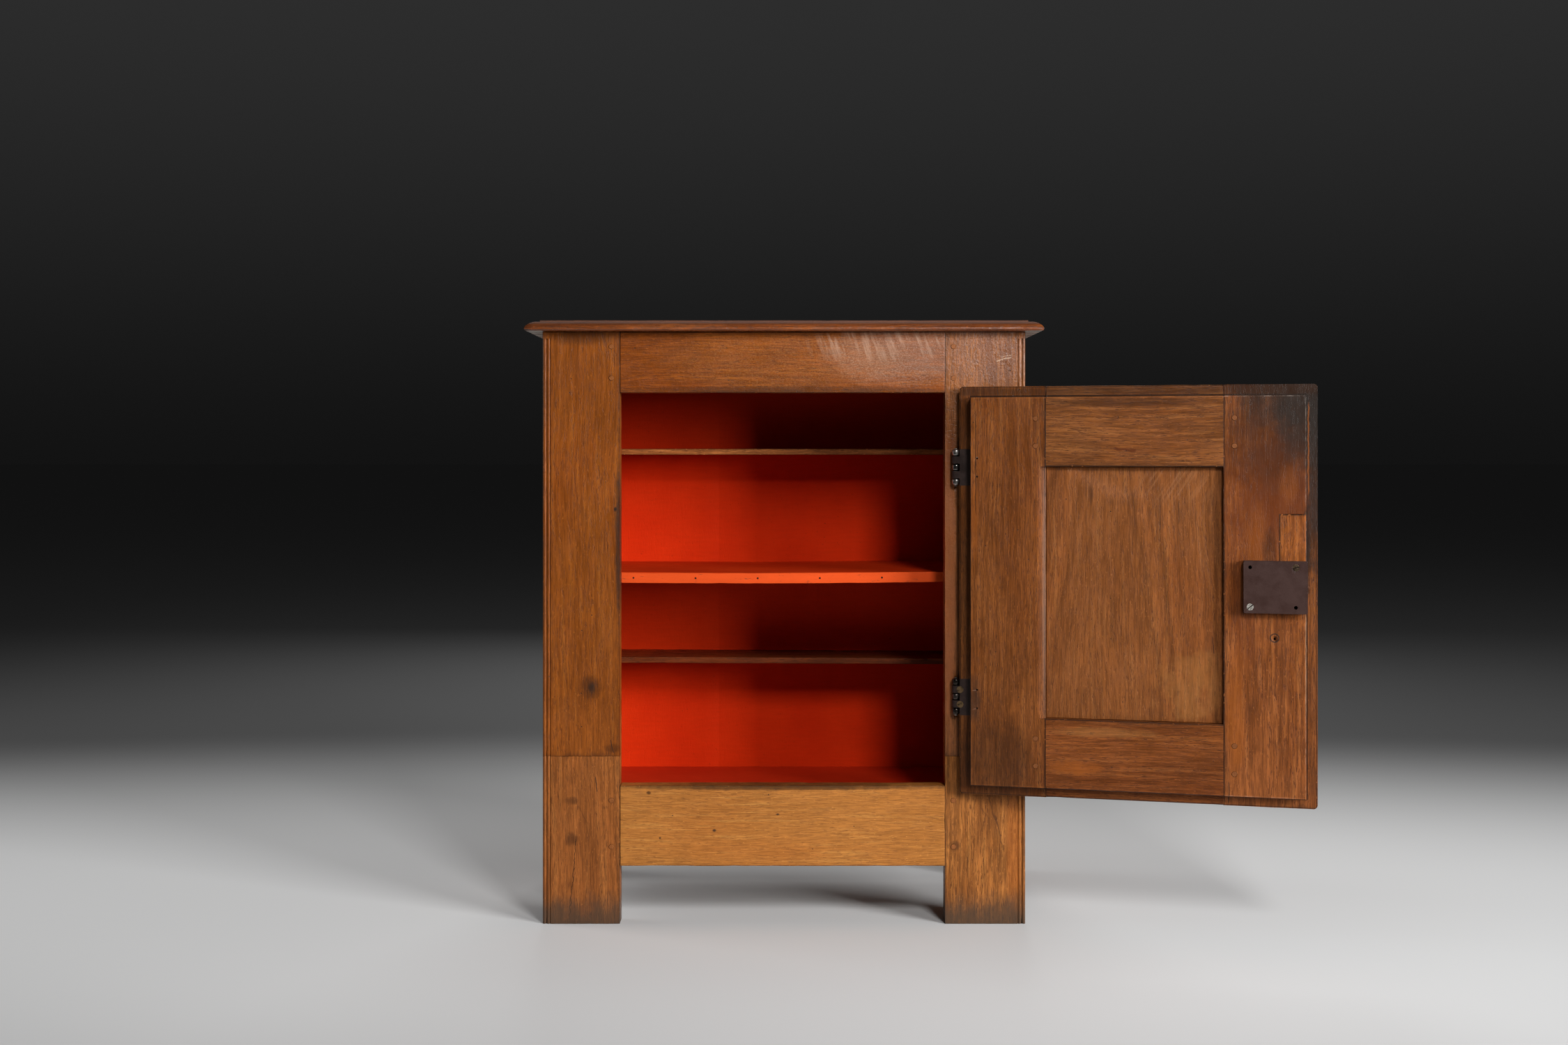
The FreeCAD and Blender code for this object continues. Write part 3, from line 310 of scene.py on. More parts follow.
def oak(name, tone, grain, seed, low, high, on_door=False, flame=None, grime=0.6, gloss=0.36, marks=(),
        painted=None, feet=False, hammered=0.0, lively=1.0, gleam=0.15, dull_above=None, seam=0.0013,
        wander=0.016):
    """Old waxed oak. Grain gives which way the fibres run; low and high are the board's corners.

    Painted is how bright the paint is, and the planes (axis, place, sense) that it lies beyond.
    """
    finish = Finish(name, on_door)
    axes = grain_axes[grain]
    parted = finish.split(finish.place)
    across, depth, along = [parted[axis] for axis in axes]
    a0, d0, l0 = [low[axis] for axis in axes]
    a1, d1, l1 = [high[axis] for axis in axes]
    board = finish.joined(across, depth, along)
    shift = (seed * 0.731, seed * 0.317, seed * 0.573)

    sway = finish.noise(finish.stretched(board, (9, 9, 3), shift), 1.0, 2.0)
    ripple = finish.noise(finish.stretched(board, (75, 75, 30), shift), 1.0, 2.0)
    bent_across = across + (sway - 0.5) * wander + (ripple - 0.5) * 0.0024
    bent = finish.joined(bent_across, depth, along)
    clouds = finish.noise(finish.stretched(board, (18, 18, 7), shift), 1.0, 4.0, 0.6)
    streaks = finish.noise(finish.stretched(bent, (190, 190, 7), shift), 1.0, 3.0, 0.6)
    fibres = finish.noise(finish.stretched(bent, (560, 560, 34), shift), 1.0, 3.0, 0.65)
    pores = finish.noise(finish.stretched(bent, (980, 700, 95), shift), 1.0, 2.0, 0.55)
    specks = finish.noise(finish.stretched(bent, (640, 640, 190), shift), 1.0, 1.0)

    pore_tone = shade(tone, 0.3, 0.24, 0.2)
    dark = shade(tone, 1 - 0.2 * lively, 1 - 0.23 * lively, 1 - 0.28 * lively)
    light = shade(tone, 1 + 0.18 * lively, 1 + 0.2 * lively, 1 + 0.22 * lively)
    colour = finish.mix(finish.step(clouds, 0.36, 0.64), dark, light)
    colour = finish.mix(finish.step(sway, 0.45, 0.75, 0.0, 0.4), colour, shade(tone, 1.02, 0.82, 0.65))
    colour = finish.mix(finish.step(streaks, 0.5, 0.68, 0.0, 0.5), colour, shade(tone, 1.15, 1.35, 1.5))
    colour = finish.tinted(colour, finish.step(streaks, 0.34, 0.66, 1 - 0.2 * lively, 1 + 0.14 * lively))
    if flame:
        middle, pull, bend = flame
        off = across - middle
        arch = along * pull + off * off * bend + (sway - 0.5) * 0.03
        rings = finish.noise(finish.joined(arch * 150.0, depth * 3.0, seed * 1.0), 1.0, 3.0, 0.6)
        colour = finish.tinted(colour, finish.step(rings, 0.34, 0.64, 0.76, 1.14))
    fibre_depth = 0.14 + 0.12 * lively
    colour = finish.tinted(colour, finish.step(fibres, 0.36, 0.64, 1 - fibre_depth, 1 + fibre_depth))
    porous = finish.step(streaks, 0.36, 0.58, 0.25, 1.0)
    pore_share = finish.step(pores, 0.55, 0.63) * porous
    colour = finish.mix(pore_share * (0.35 + 0.4 * lively), colour, pore_tone)
    # pale specks: dust, and painted glints of light on the pores
    colour = finish.mix(finish.step(specks, 0.66, 0.74) * 0.4, colour, shade(tone, 1.9, 2.1, 2.4))

    from_side = (across - a0).least(a1 - across)
    from_face = (depth - d0).least(d1 - depth)
    from_end = (along - l0).least(l1 - along)
    face_rim = from_side.least(from_end)
    edge_rim = from_side.least(from_face).most(from_side.most(from_face).least(from_end))
    on_edge = finish.step(face_rim, 0.0008, 0.0004)
    rim = face_rim + (edge_rim - face_rim) * on_edge
    cloud = finish.noise(finish.stretched(board, (55, 55, 26), shift), 1.0, 4.0, 0.65)
    # darker near the board's edges: dirt, and painted shade as in the corners and joints between boards
    edge_dirt_and_shade = finish.step(rim - (cloud - 0.5) * 0.016, 0.006, -0.001)
    joint_line = finish.step(rim, seam, seam * 0.4)
    colour = finish.mix(edge_dirt_and_shade * (0.6 * grime), colour, grime_brown)
    colour = finish.mix(joint_line * 0.75, colour, crevice_brown)
    chips = finish.step(rim, 0.0026, 0.001) * finish.step(finish.noise(finish.place, 240.0, 2.0), 0.64, 0.7)
    colour = finish.mix(chips * 0.5, colour, shade(tone, 2.0, 2.2, 2.6))
    cells = finish.node("ShaderNodeTexVoronoi", {"feature": "F1"}, {
        "Vector": finish.stretched(board, (1, 1, 1), shift), "Scale": 62.0})
    worm = cells.socket.node.outputs
    rare = finish.split(Value(finish, worm["Color"]))[0]
    holes = finish.step(Value(finish, worm["Distance"]), 0.075, 0.04) * finish.step(rare, 0.8, 0.82)
    colour = finish.mix(holes * 0.85, colour, soot_and_shade_black)
    for mark in marks:
        colour = mark(finish, across, depth, along, colour)
    if feet:
        low_dirt = finish.step(along + (cloud - 0.5) * 0.06, 0.056, 0.008)
        colour = finish.mix(low_dirt * 0.8, colour, floor_dirt)
    rough = finish.step(cloud, 0.3, 0.75, gloss - 0.06, gloss + 0.14) + pore_share * 0.15
    if dull_above:
        rough = rough.most(finish.step(depth, dull_above - 0.002, dull_above + 0.002) * 0.85)
    if painted:
        fade, planes = painted
        inside = 1.0
        for axis, edge, sense in planes:
            inside = inside * finish.step((parted[axis] - edge) * sense, -0.0004, 0.0004)
        colour = finish.mix(inside, colour, paint_colour(finish, fade))
        rough = rough.most(inside * 0.62)
    waves = finish.noise(finish.stretched(board, (70, 70, 26), shift), 1.0, 2.0)
    height = waves * 0.5 + fibres * 0.25 - pore_share * 0.35 - holes * 0.5
    if hammered:
        height = height + finish.noise(finish.place, 210.0, 3.0, 0.6, 0.4) * hammered
    finish.feed(Base_Color=colour, Roughness=rough, Normal=finish.bump(height, 0.001, 0.45),
                Specular_IOR_Level=gleam)
    return finish.material


def paint_colour(finish, fade=1.0, tones=(paint_deep, paint_orange)):
    """Old hand-brushed orange-red paint, thin and dirty here and there. Fade darkens it."""
    brush = finish.noise(finish.stretched(finish.place, (30, 90, 240)), 1.0, 3.0, 0.6)
    cloud = finish.noise(finish.place, 7.0, 4.0, 0.6)
    dust = finish.noise(finish.place, 380.0, 2.0)
    scuffs = finish.noise(finish.stretched(finish.place, (90, 160, 160)), 1.0, 3.0, 0.6)
    colour = finish.mix(finish.step(cloud, 0.3, 0.7), shade(tones[0], fade), shade(tones[1], fade))
    colour = finish.tinted(colour, finish.step(brush, 0.3, 0.7, 0.97, 1.03))
    colour = finish.mix(finish.step(dust, 0.68, 0.76) * 0.3, colour, grime_brown)
    return finish.mix(finish.step(scuffs, 0.7, 0.78) * 0.5, colour, grime_brown)


def paint(name, fade=1.0, tones=(paint_deep, paint_orange), scuffed=0.0):
    finish = Finish(name)
    colour = paint_colour(finish, fade, tones)
    if scuffed:
        chips = finish.noise(finish.stretched(finish.place, (70, 70, 300)), 1.0, 3.0, 0.6)
        colour = finish.mix(finish.step(chips, 0.64, 0.7) * scuffed, colour, shade(grime_brown, 3.0))
    brush = finish.noise(finish.stretched(finish.place, (24, 60, 160)), 1.0, 2.0)
    finish.feed(Base_Color=colour, Roughness=finish.step(brush, 0.3, 0.7, 0.56, 0.68),
                Normal=finish.bump(brush, 0.0008, 0.2), Specular_IOR_Level=0.05)
    return finish.material


def iron(name, tone, metal=0.75, gloss=0.42, rust=0.5, mottle=0.3, gleam=0.5, pitting=0.35):
    """Old dark iron with a brown bloom."""
    finish = Finish(name)
    cloud = finish.noise(finish.place, 60.0, 4.0, 0.6)
    pits = finish.noise(finish.place, 420.0, 3.0, 0.6)
    fine = finish.noise(finish.place, 1300.0, 2.0)
    colour = finish.mix(finish.step(cloud, 0.35, 0.7), shade(tone, 1 - mottle), shade(tone, 1 + mottle))
    colour = finish.mix(finish.step(pits, 0.58, 0.72) * rust, colour, (0.06, 0.026, 0.014))
    finish.feed(Base_Color=colour, Metallic=metal,
                Roughness=finish.step(cloud, 0.3, 0.7, gloss, gloss + 0.14),
                Normal=finish.bump(pits * 0.6 + fine * 0.4, 0.0005, pitting), Specular_IOR_Level=gleam)
    return finish.material


def bright_metal(name, tone, gloss, dulled=0.65, face=None):
    """Bright metal, dulled in patches. What lies deeper than a face on the door, such as a screw's slot, is
    darkened as painted shade.
    """
    finish = Finish(name, on_door=face is not None)
    rub = finish.noise(finish.place, 500.0, 3.0, 0.6)
    dull = finish.noise(finish.place, 160.0, 3.0, 0.6)
    colour = finish.mix(finish.step(dull, 0.45, 0.7), tone, shade(tone, 1 - dulled))
    if face is not None:
        depth = finish.split(finish.place)[1]
        # painted shade in the screw's slot
        colour = finish.mix(finish.step(depth, face - 0.0003, face - 0.0007), colour, soot_and_shade_black)
    finish.feed(Base_Color=colour, Metallic=1.0, Roughness=finish.step(rub, 0.3, 0.7, gloss, gloss + 0.2),
                Normal=finish.bump(rub, 0.0003, 0.3))
    return finish.material


def peg_finish(name, tone):
    """End of a cleft peg: lighter end grain with a darker rim."""
    finish = Finish(name)
    rim = finish.node("ShaderNodeAttribute", {"attribute_name": "rim"}, output="Fac")
    grain = finish.noise(finish.place, 900.0, 3.0, 0.6)
    colour = finish.tinted(finish.mix(finish.step(rim, 0.92, 1.0, 0.0, 0.6), tone, grime_brown),
                           finish.step(grain, 0.3, 0.7, 0.75, 1.25))
    finish.feed(Base_Color=colour, Roughness=finish.step(grain, 0.3, 0.7, 0.38, 0.52),
                Normal=finish.bump(grain, 0.0004, 0.4), Specular_IOR_Level=0.3)
    return finish.material


same_point = 1e-6
flat_angle, sharp_angle, board_crease = math.radians(0.6), math.radians(35), math.radians(44)


def merged_copy(node, on_door=False):
    """Working copy of a node's mesh with its seams closed, turned shut if it is on the door."""
    board = bmesh.new()
    board.from_mesh(nodes[node].data)
    bmesh.ops.remove_doubles(board, verts=board.verts, dist=same_point)
    if on_door:
        bmesh.ops.transform(board, matrix=shut, verts=board.verts)
    bmesh.ops.dissolve_limit(board, angle_limit=flat_angle, verts=board.verts, edges=board.edges)
    return board


def corners(board):
    low = Vector(min(vert.co[axis] for vert in board.verts) for axis in range(3))
    high = Vector(max(vert.co[axis] for vert in board.verts) for axis in range(3))
    return low, high


def islands(board):
    """The separate solids of a mesh, each as the list of its points."""
    left = set(board.verts)
    found = []
    while left:
        group = [left.pop()]
        for vert in group:
            for edge in vert.link_edges:
                other = edge.other_vert(vert)
                if other in left:
                    left.discard(other)
                    group.append(other)
        found.append([vert.co.copy() for vert in group])
    return found


def stud_places(node, on_door):
    """Middle, way from head to tip, length and head radius of each peg or nail of a node, in a fixed order."""
    board = merged_copy(node, on_door)
    places = []
    for points in islands(board):
        low = Vector(min(point[axis] for point in points) for axis in range(3))
        high = Vector(max(point[axis] for point in points) for axis in range(3))
        size = high - low
        middle = (low + high) / 2
        length = max(size)
        axis = list(size).index(length)
        others = [other for other in range(3) if other != axis]
        wide = {True: 0.0, False: 0.0}
        for point in points:
            if abs(point[axis] - middle[axis]) > length * 0.4:
                reach = max(abs(point[other] - middle[other]) for other in others)
                at_high_end = point[axis] > middle[axis]
                wide[at_high_end] = max(wide[at_high_end], reach)
        way = Vector((0, 0, 0))
        way[axis] = -1 if wide[True] > wide[False] else 1
        places.append((middle, way, length, max(wide.values())))
    board.free()
    return sorted(places, key=lambda place: [round(value, 4) for value in place[0]])


peg_margin = 0.02
carcass_pegs = ("front_frame_pegs", "side_and_rear_pegs", "top_pegs")
peg_places = {False: [place for node in carcass_pegs for place in stud_places(node, False)],
              True: stud_places("door_pegs", True)}


def by_a_peg(point, on_door):
    """Whether a point lies close to the line of a peg, where the wood stays whole."""
    return any((point - middle).cross(way).length < peg_margin
               for middle, way, length, radius in peg_places[on_door])


def ease_arrises(board, arris, segments, where=None):
    """Rounds the long outer arrises, or those of them whose middle passes the test where."""
    if not arris:
        return
    sharp = [edge for edge in board.edges
             if len(edge.link_faces) == 2 and edge.calc_length() > 5 * arris
             and edge.is_convex and edge.calc_face_angle(0) > sharp_angle
             and (where is None or where((edge.verts[0].co + edge.verts[1].co) / 2))]
    eased = bmesh.ops.bevel(board, geom=sharp, offset=arris, offset_type="OFFSET", segments=segments,
                            profile=0.5, affect="EDGES", clamp_overlap=True)
    layer = board.verts.layers.float["arris"]
    for vert in eased["verts"]:
        vert[layer] = 1.0


def cut_in_steps(board, pitch):
    """Cuts the faces at regular steps along the two longer ways, so that the surface can be worn."""
    low, high = corners(board)
    size = high - low
    ways = sorted(range(3), key=lambda axis: -size[axis])[:2]
    for axis in ways:
        count = max(1, round(size[axis] / pitch))
        for index in range(1, count):
            point = low.copy()
            point[axis] += size[axis] * index / count
            normal = Vector((0, 0, 0))
            normal[axis] = 1
            everything = board.verts[:] + board.edges[:] + board.faces[:]
            bmesh.ops.bisect_plane(board, geom=everything, dist=same_point, plane_co=point, plane_no=normal)


def wear_down(board, seed, hollow, dents, on_door):
    """Planes and rubs the surface a little uneven, most of all on the arrises. Nothing is added."""
    board.normal_update()
    shift = Vector((seed * 1.7, seed * 0.9, seed * 2.3))
    layer = board.verts.layers.float["arris"]
    low, high = corners(board)
    size = list(high - low)
    thin = size.index(min(size))
    moves = []
    for vert in board.verts:
        plane_wave = noise.noise(vert.co * 14 + shift) * 0.5 + 0.5
        rubbed = noise.noise(vert.co * 42 + shift) - 0.05
        way = vert.normal.copy()
        if abs(way[thin]) > 0.3:
            way = Vector(math.copysign(1, way[axis]) if axis == thin else 0 for axis in range(3))
        move = way * hollow * plane_wave
        if vert[layer] > 0.99 and rubbed > 0 and not by_a_peg(vert.co, on_door):
            move += vert.normal * dents * rubbed
        moves.append((vert, move))
    for vert, move in moves:
        vert.co -= move


def smooth_faces(mesh, crease):
    """Shades the faces smooth, but keeps edges past the crease angle sharp."""
    for polygon in mesh.polygons:
        polygon.use_smooth = True
    mesh.set_sharp_from_angle(angle=crease)


def rough_object(name, mesh):
    """Object that carries the modifiers while a piece is made."""
    rough_piece = bpy.data.objects.new(name + "_rough", mesh)
    bpy.context.scene.collection.objects.link(rough_piece)
    return rough_piece


def plain_mesh(rough_piece):
    """Plain mesh of a rough object with its modifiers applied. The rough object goes."""
    shown = rough_piece.evaluated_get(bpy.context.evaluated_depsgraph_get())
    mesh = bpy.data.meshes.new_from_object(shown)
    bpy.data.objects.remove(rough_piece)
    return mesh


def set_piece(name, mesh, body, replaced):
    """Piece that rides on its body in place of the nodes replaced."""
    piece = bpy.data.objects.new(name, mesh)
    bpy.context.scene.collection.objects.link(piece)
    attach(piece, body)
    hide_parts(*replaced)


def finish_piece(board, name, body, material, replaced, on_door):
    """Turns the worked copy into a piece with weighted normals that stands for the node."""
    if on_door:
        bmesh.ops.transform(board, matrix=shut.inverted(), verts=board.verts)
    bmesh.ops.triangulate(board, faces=[face for face in board.faces if len(face.verts) > 4])
    mesh = bpy.data.meshes.new(name)
    board.to_mesh(mesh)
    board.free()
    smooth_faces(mesh, board_crease)
    rough_piece = rough_object(name, mesh)
    weighted = rough_piece.modifiers.new("normals", "WEIGHTED_NORMAL")
    weighted.keep_sharp = True
    mesh = plain_mesh(rough_piece)
    mesh.materials.clear()
    mesh.materials.append(material)
    set_piece(name, mesh, body, replaced)


def worn_board(node, make_finish, arris=0.0012, pitch=0.014, hollow=0.0003, dents=0.0011, on_door=False,
               seed=1, shape=None, round_arris=0.0, round_where=None):
    """A board or an iron piece with eased arrises and an uneven face."""
    board = merged_copy(node, on_door)
    board.verts.layers.float.new("arris")
    low, high = corners(board)
    ease_arrises(board, round_arris, 4, round_where)
    ease_arrises(board, arris, 2)
    cut_in_steps(board, pitch)
    if shape:
        shape(board)
    wear_down(board, seed, hollow, dents, on_door)
    material = make_finish(low, high)
    body = next(name for name, members in frame["record"]["behaviour"]["bodies"].items() if node in members)
    finish_piece(board, "worn_" + node, body, material, [node], on_door)


def oak_board(node, tone, grain, seed, pitch=0.014, arris=0.0012, **extra):
    """A board of the carcass in waxed oak."""
    worn_board(node, lambda low, high: oak("oak_" + node, tone, grain, seed, low, high, **extra), seed=seed,
               pitch=pitch, arris=arris)


# The door's raised field and lip, shut
lip_low, lip_high = (0.1014, 0.1975), (0.6091, 0.8005)
field_low, field_high = (0.117, 0.213), (0.5916, 0.785)
field_rounding = 0.0028


def on_field_rim(point):
    """Whether a point lies on the rim of the door's raised field or of its lip."""
    for low, high in ((field_low, field_high), (lip_low, lip_high)):
        near_x = min(abs(point.x - low[0]), abs(point.x - high[0]))
        near_z = min(abs(point.z - low[1]), abs(point.z - high[1]))
        if min(near_x, near_z) < 0.0006:
            return True
    return False


def door_board(node, tone, grain, seed, arris=0.0006, shape=None, pitch=0.014, marks=(), **extra):
    """A board of the door's frame. A dark line of dirt and painted shade runs round the raised field in its
    crevice, and a light line of rubbed wear and painted highlight runs along the field's arris.
    """
    order = (lambda point: point) if grain == "upright" else (lambda point: (point[1], point[0]))
    low_corner, high_corner = order(field_low), order(field_high)
    # dark line in the crevice round the field: dirt and painted shade; light line on the field's arris: rubbed
    # wear and painted highlight
    field_shade_and_highlight = [outline(crevice_brown, low_corner, high_corner, 0.0006, 0.0024, 0.9),
               outline(shade(tone, 2.0), low_corner, high_corner, -0.0022, 0.0012, 0.45, broken=0.8)]
    worn_board(node, lambda low, high: oak("oak_" + node, tone, grain, seed, low, high, on_door=True,
                                           marks=field_shade_and_highlight + list(marks), seam=0.0026, **extra),
               seed=seed, arris=arris, on_door=True, shape=shape, pitch=pitch, round_arris=field_rounding,
               round_where=on_field_rim)


# Planes (axis, place, sense) that bound the painted inside
above_floor = (2, 0.17, 1)
behind_front, before_back, back_inside = (1, 0.0275, 1), (1, 0.31, -1), (1, 0.3124, -1)
left_inside, right_inside = (0, 0.0235, 1), (0, 0.6965, -1)
# darker copy of the inside paint on the sides and the back of the front frame, as painted shade
shaded_paint = 0.35

# Front frame
inner_paint = (shaded_paint, (behind_front, above_floor, left_inside, right_inside))
gouge_pale = (0.5, 0.35, 0.24)


def frame_board(node, tone, grain, seed, **extra):
    """A board of the front frame, whose back is painted with the inside."""
    oak_board(node, tone, grain, seed, painted=inner_paint, **extra)


frame_board("left_front_stile", (0.209, 0.0557, 0.0075), "upright", 1, lively=0.5, seam=0.0007, marks=(
    blot(soot_and_shade_black, (0.1132, 0.57), (0.006, 0.12), 0.7),
    blot(soot_and_shade_black, (0.1086, 0.6183), (0.003, 0.004), 0.95),
    blot(grime_brown, (0.0725, 0.353), (0.017, 0.021), 0.65, 1.4),
    blot(soot_and_shade_black, (0.0732, 0.3524), (0.006, 0.01), 0.75, 1.4),
    blot(grime_brown, (0.06, 0.876), (0.06, 0.014), 0.55),
    blot(pore_brown, (0.104, 0.262), (0.012, 0.008), 0.5),
    slit(soot_and_shade_black, (0.101, 0.275), (0.106, 0.255), 0.0009, 0.8)))
frame_board("left_front_foot", (0.251, 0.078, 0.0167), "upright", 2, lively=0.6, seam=0.0006, feet=True,
            flame=(0.045, 0.05, 9.0), marks=(
    slit(crevice_brown, (0.0396, 0.004), (0.0503, 0.1336), 0.0008, 0.85, 0.008),
    blot(grime_brown, (0.0435, 0.184), (0.012, 0.007), 0.5, 2.4),
    blot(grime_brown, (0.0425, 0.126), (0.011, 0.012), 0.55, 2.4),
    slit(grime_brown, (0.052, 0.18), (0.067, 0.15), 0.0016, 0.25, 0.008),
    slit(soot_and_shade_black, (0.078, 0.22), (0.0815, 0.196), 0.0011, 0.8, 0.004)))
frame_board("right_front_stile", (0.205, 0.069, 0.019), "upright", 3, gloss=0.3, hammered=1.6, seam=0.0009,
            gleam=0.3, marks=(
    # painted highlight: glints of light on the wax at the top of the stile
    wax_flecks_and_glints(shade(highlight_pink, 0.9, 1.1, 1.5), (0.66, 0.85), (0.075, 0.05), 560.0, 0.32),
    slit(gouge_pale, (0.676, 0.8395), (0.699, 0.845), 0.001, 0.65, 0.008),
    slit(gouge_pale, (0.684, 0.8455), (0.701, 0.849), 0.0008, 0.5, 0.008),
    # painted light: a paler strip along the inner edge, where the open door shades it
    blot((0.42, 0.13, 0.045), (0.606, 0.52), (0.012, 0.26), 0.6),
    blot(wax_red, (0.61, 0.7), (0.008, 0.06), 0.5),
    blot(soot_and_shade_black, (0.697, 0.8255), (0.0015, 0.0015), 0.9)))
frame_board("right_front_foot", (0.263, 0.091, 0.0197), "upright", 4, seam=0.0006, feet=True,
            flame=(0.69, 0.05, -9.0), marks=(
    slit(grime_brown, (0.664, 0.19), (0.678, 0.145), 0.0013, 0.5, 0.006),
    slit(grime_brown, (0.674, 0.165), (0.688, 0.107), 0.0013, 0.5, 0.008),
    slit(grime_brown, (0.6535, 0.173), (0.6665, 0.157), 0.0012, 0.35, 0.006),
    blot(grime_brown, (0.6125, 0.116), (0.011, 0.008), 0.5, 2.0),
    blot(wax_orange, (0.702, 0.1), (0.012, 0.11), 0.5)))
frame_board("front_top_rail", (0.192, 0.0475, 0.006), "crosswise", 5, lively=0.6, hammered=1.2,
            gleam=0.2, marks=(
    # painted highlight at the rail's right end: a pale sheen, glints, and ray flecks that are the oak's own figure
    # coloured as lit up
    blot(highlight_pink, (0.85, 0.53), (0.045, 0.11), 0.16, 2.2),
    wax_flecks_and_glints(shade(highlight_pink, 1, 1.12, 1.3), (0.845, 0.55), (0.05, 0.15), 560.0, 0.4),
    slanting_rays(highlight_pink, (0.865, 0.505), (0.032, 0.125), 0.35, 0.6),
    wax_flecks_and_glints(wear_straw, (0.84, 0.36), (0.05, 0.2), 560.0, 0.35),
    blot(grime_brown, (0.797, 0.36), (0.006, 0.24), 0.5)))
frame_board("front_bottom_rail", (0.364, 0.137, 0.0286), "crosswise", 6, lively=0.35, grime=0.35, marks=(
    blot(soot_and_shade_black, (0.1394, 0.2561), (0.0025, 0.0035), 0.85),
    blot(soot_and_shade_black, (0.128, 0.1751), (0.002, 0.002), 0.85),
    blot(soot_and_shade_black, (0.1633, 0.3506), (0.0018, 0.003), 0.85),
    blot(pore_brown, (0.1955, 0.1584), (0.003, 0.004), 0.8),
    blot(grime_brown, (0.2035, 0.36), (0.005, 0.26), 0.75)))

# Door
door_board("door_hinge_stile", (0.151, 0.0465, 0.0105), "upright", 11, marks=(
    blot(grime_brown, (0.545, 0.25), (0.06, 0.07), 0.5),
    blot(soot_and_shade_black, (0.586, 0.34), (0.012, 0.035), 0.6, 1.8),
    blot(wax_orange, (0.585, 0.6), (0.006, 0.06), 0.45),
    # painted highlight along the chamfer on the stile's inner arris
    blot(highlight_pink, (0.4845, 0.5), (0.0028, 0.19), 0.15, 0.5),
    slit(grime_brown, (0.48, 0.7925), (0.612, 0.7925), 0.008, 0.6),
    slit(grime_brown, (0.6, 0.2), (0.6, 0.8), 0.007, 0.4),
    slit(grime_brown, (0.5838, 0.61), (0.5838, 0.76), 0.001, 0.75, 0.003),
    # pale dot of a nail tip, with its glint painted in
    blot((0.6, 0.55, 0.5), (0.5816, 0.6954), (0.0012, 0.0012), 0.9, 0.2)))
door_board("door_lock_stile", (0.194, 0.058, 0.0145), "upright", 12, marks=(
    blot(wax_red, (0.165, 0.65), (0.075, 0.13), 0.85),
    blot(wax_orange, (0.215, 0.33), (0.014, 0.11), 0.5),
    blot(wax_orange, (0.142, 0.66), (0.014, 0.03), 0.35, 2.0),
    blot(wax_orange, (0.185, 0.58), (0.018, 0.05), 0.35, 2.0),
    blot(wax_red, (0.2, 0.48), (0.025, 0.09), 0.4),
    blot(grime_brown, (0.168, 0.57), (0.012, 0.03), 0.55, 2.0),
    blot(grime_brown, (0.16, 0.74), (0.09, 0.1), 0.55),
    blot(soot_and_shade_black, (0.12, 0.795), (0.11, 0.075), 0.75, 0.9),
    blot(soot_and_shade_black, (0.112, 0.765), (0.055, 0.095), 0.7, 0.9),
    blot(soot_and_shade_black, (0.107, 0.68), (0.012, 0.17), 0.85),
    blot(soot_and_shade_black, (0.117, 0.56), (0.007, 0.08), 0.8, 2.0),
    blot(grime_brown, (0.165, 0.795), (0.1, 0.012), 0.75),
    outline((0.3, 0.25, 0.21), field_low, field_high, -0.0018, 0.0009, 0.32, broken=0.9),
    slit(wax_orange, (0.114, 0.64), (0.114, 0.775), 0.0014, 0.6, 0.004),
    slit((0.4, 0.26, 0.16), (0.1186, 0.33), (0.1186, 0.478), 0.0007, 0.5, 0.0012),
    slit(grime_brown, (0.1095, 0.2), (0.1095, 0.6), 0.007, 0.35),
    hoop(soot_and_shade_black, (0.1611, 0.4405), 0.0058, 0.0014, 0.8),
    slit(soot_and_shade_black, (0.2235, 0.2), (0.2235, 0.235), 0.0009, 0.7)))
door_board("door_top_rail", (0.159, 0.053, 0.0137), "crosswise", 13, marks=(
    blot(grime_brown, (0.776, 0.37), (0.007, 0.13), 0.55),
    slit((0.07, 0.014, 0.004), (0.706, 0.352), (0.7085, 0.385), 0.0026, 0.7, 0.006),
    slit(grime_brown, (0.7925, 0.22), (0.7925, 0.5), 0.008, 0.6),
    blot(wax_orange, (0.7958, 0.226), (0.004, 0.004), 0.9)))
door_board("door_bottom_rail", (0.151, 0.0425, 0.0093), "crosswise", 14, marks=(
    blot(wax_orange, (0.245, 0.44), (0.012, 0.04), 0.5, 2.2),
    blot(wear_straw, (0.298, 0.4), (0.008, 0.08), 0.2, 2.0)))


panel_crown, crown_middle, crown_half, crown_rise = 0.6322, 0.353, 0.068, 0.024
hewn_depth, hewn_slope = 0.0022, 0.13


def feather_panel(board):
    """Thins the panel's inner face towards the top, past an arched edge, as it was hewn to fit its groove."""
    face = max(vert.co.y for vert in board.verts)
    for vert in board.verts:
        if vert.co.y > face - 0.001:
            arch = panel_crown + ((vert.co.x - crown_middle) / crown_half) ** 2 * crown_rise
            vert.co.y -= min(hewn_depth, max(0.0, vert.co.z - arch) * hewn_slope)


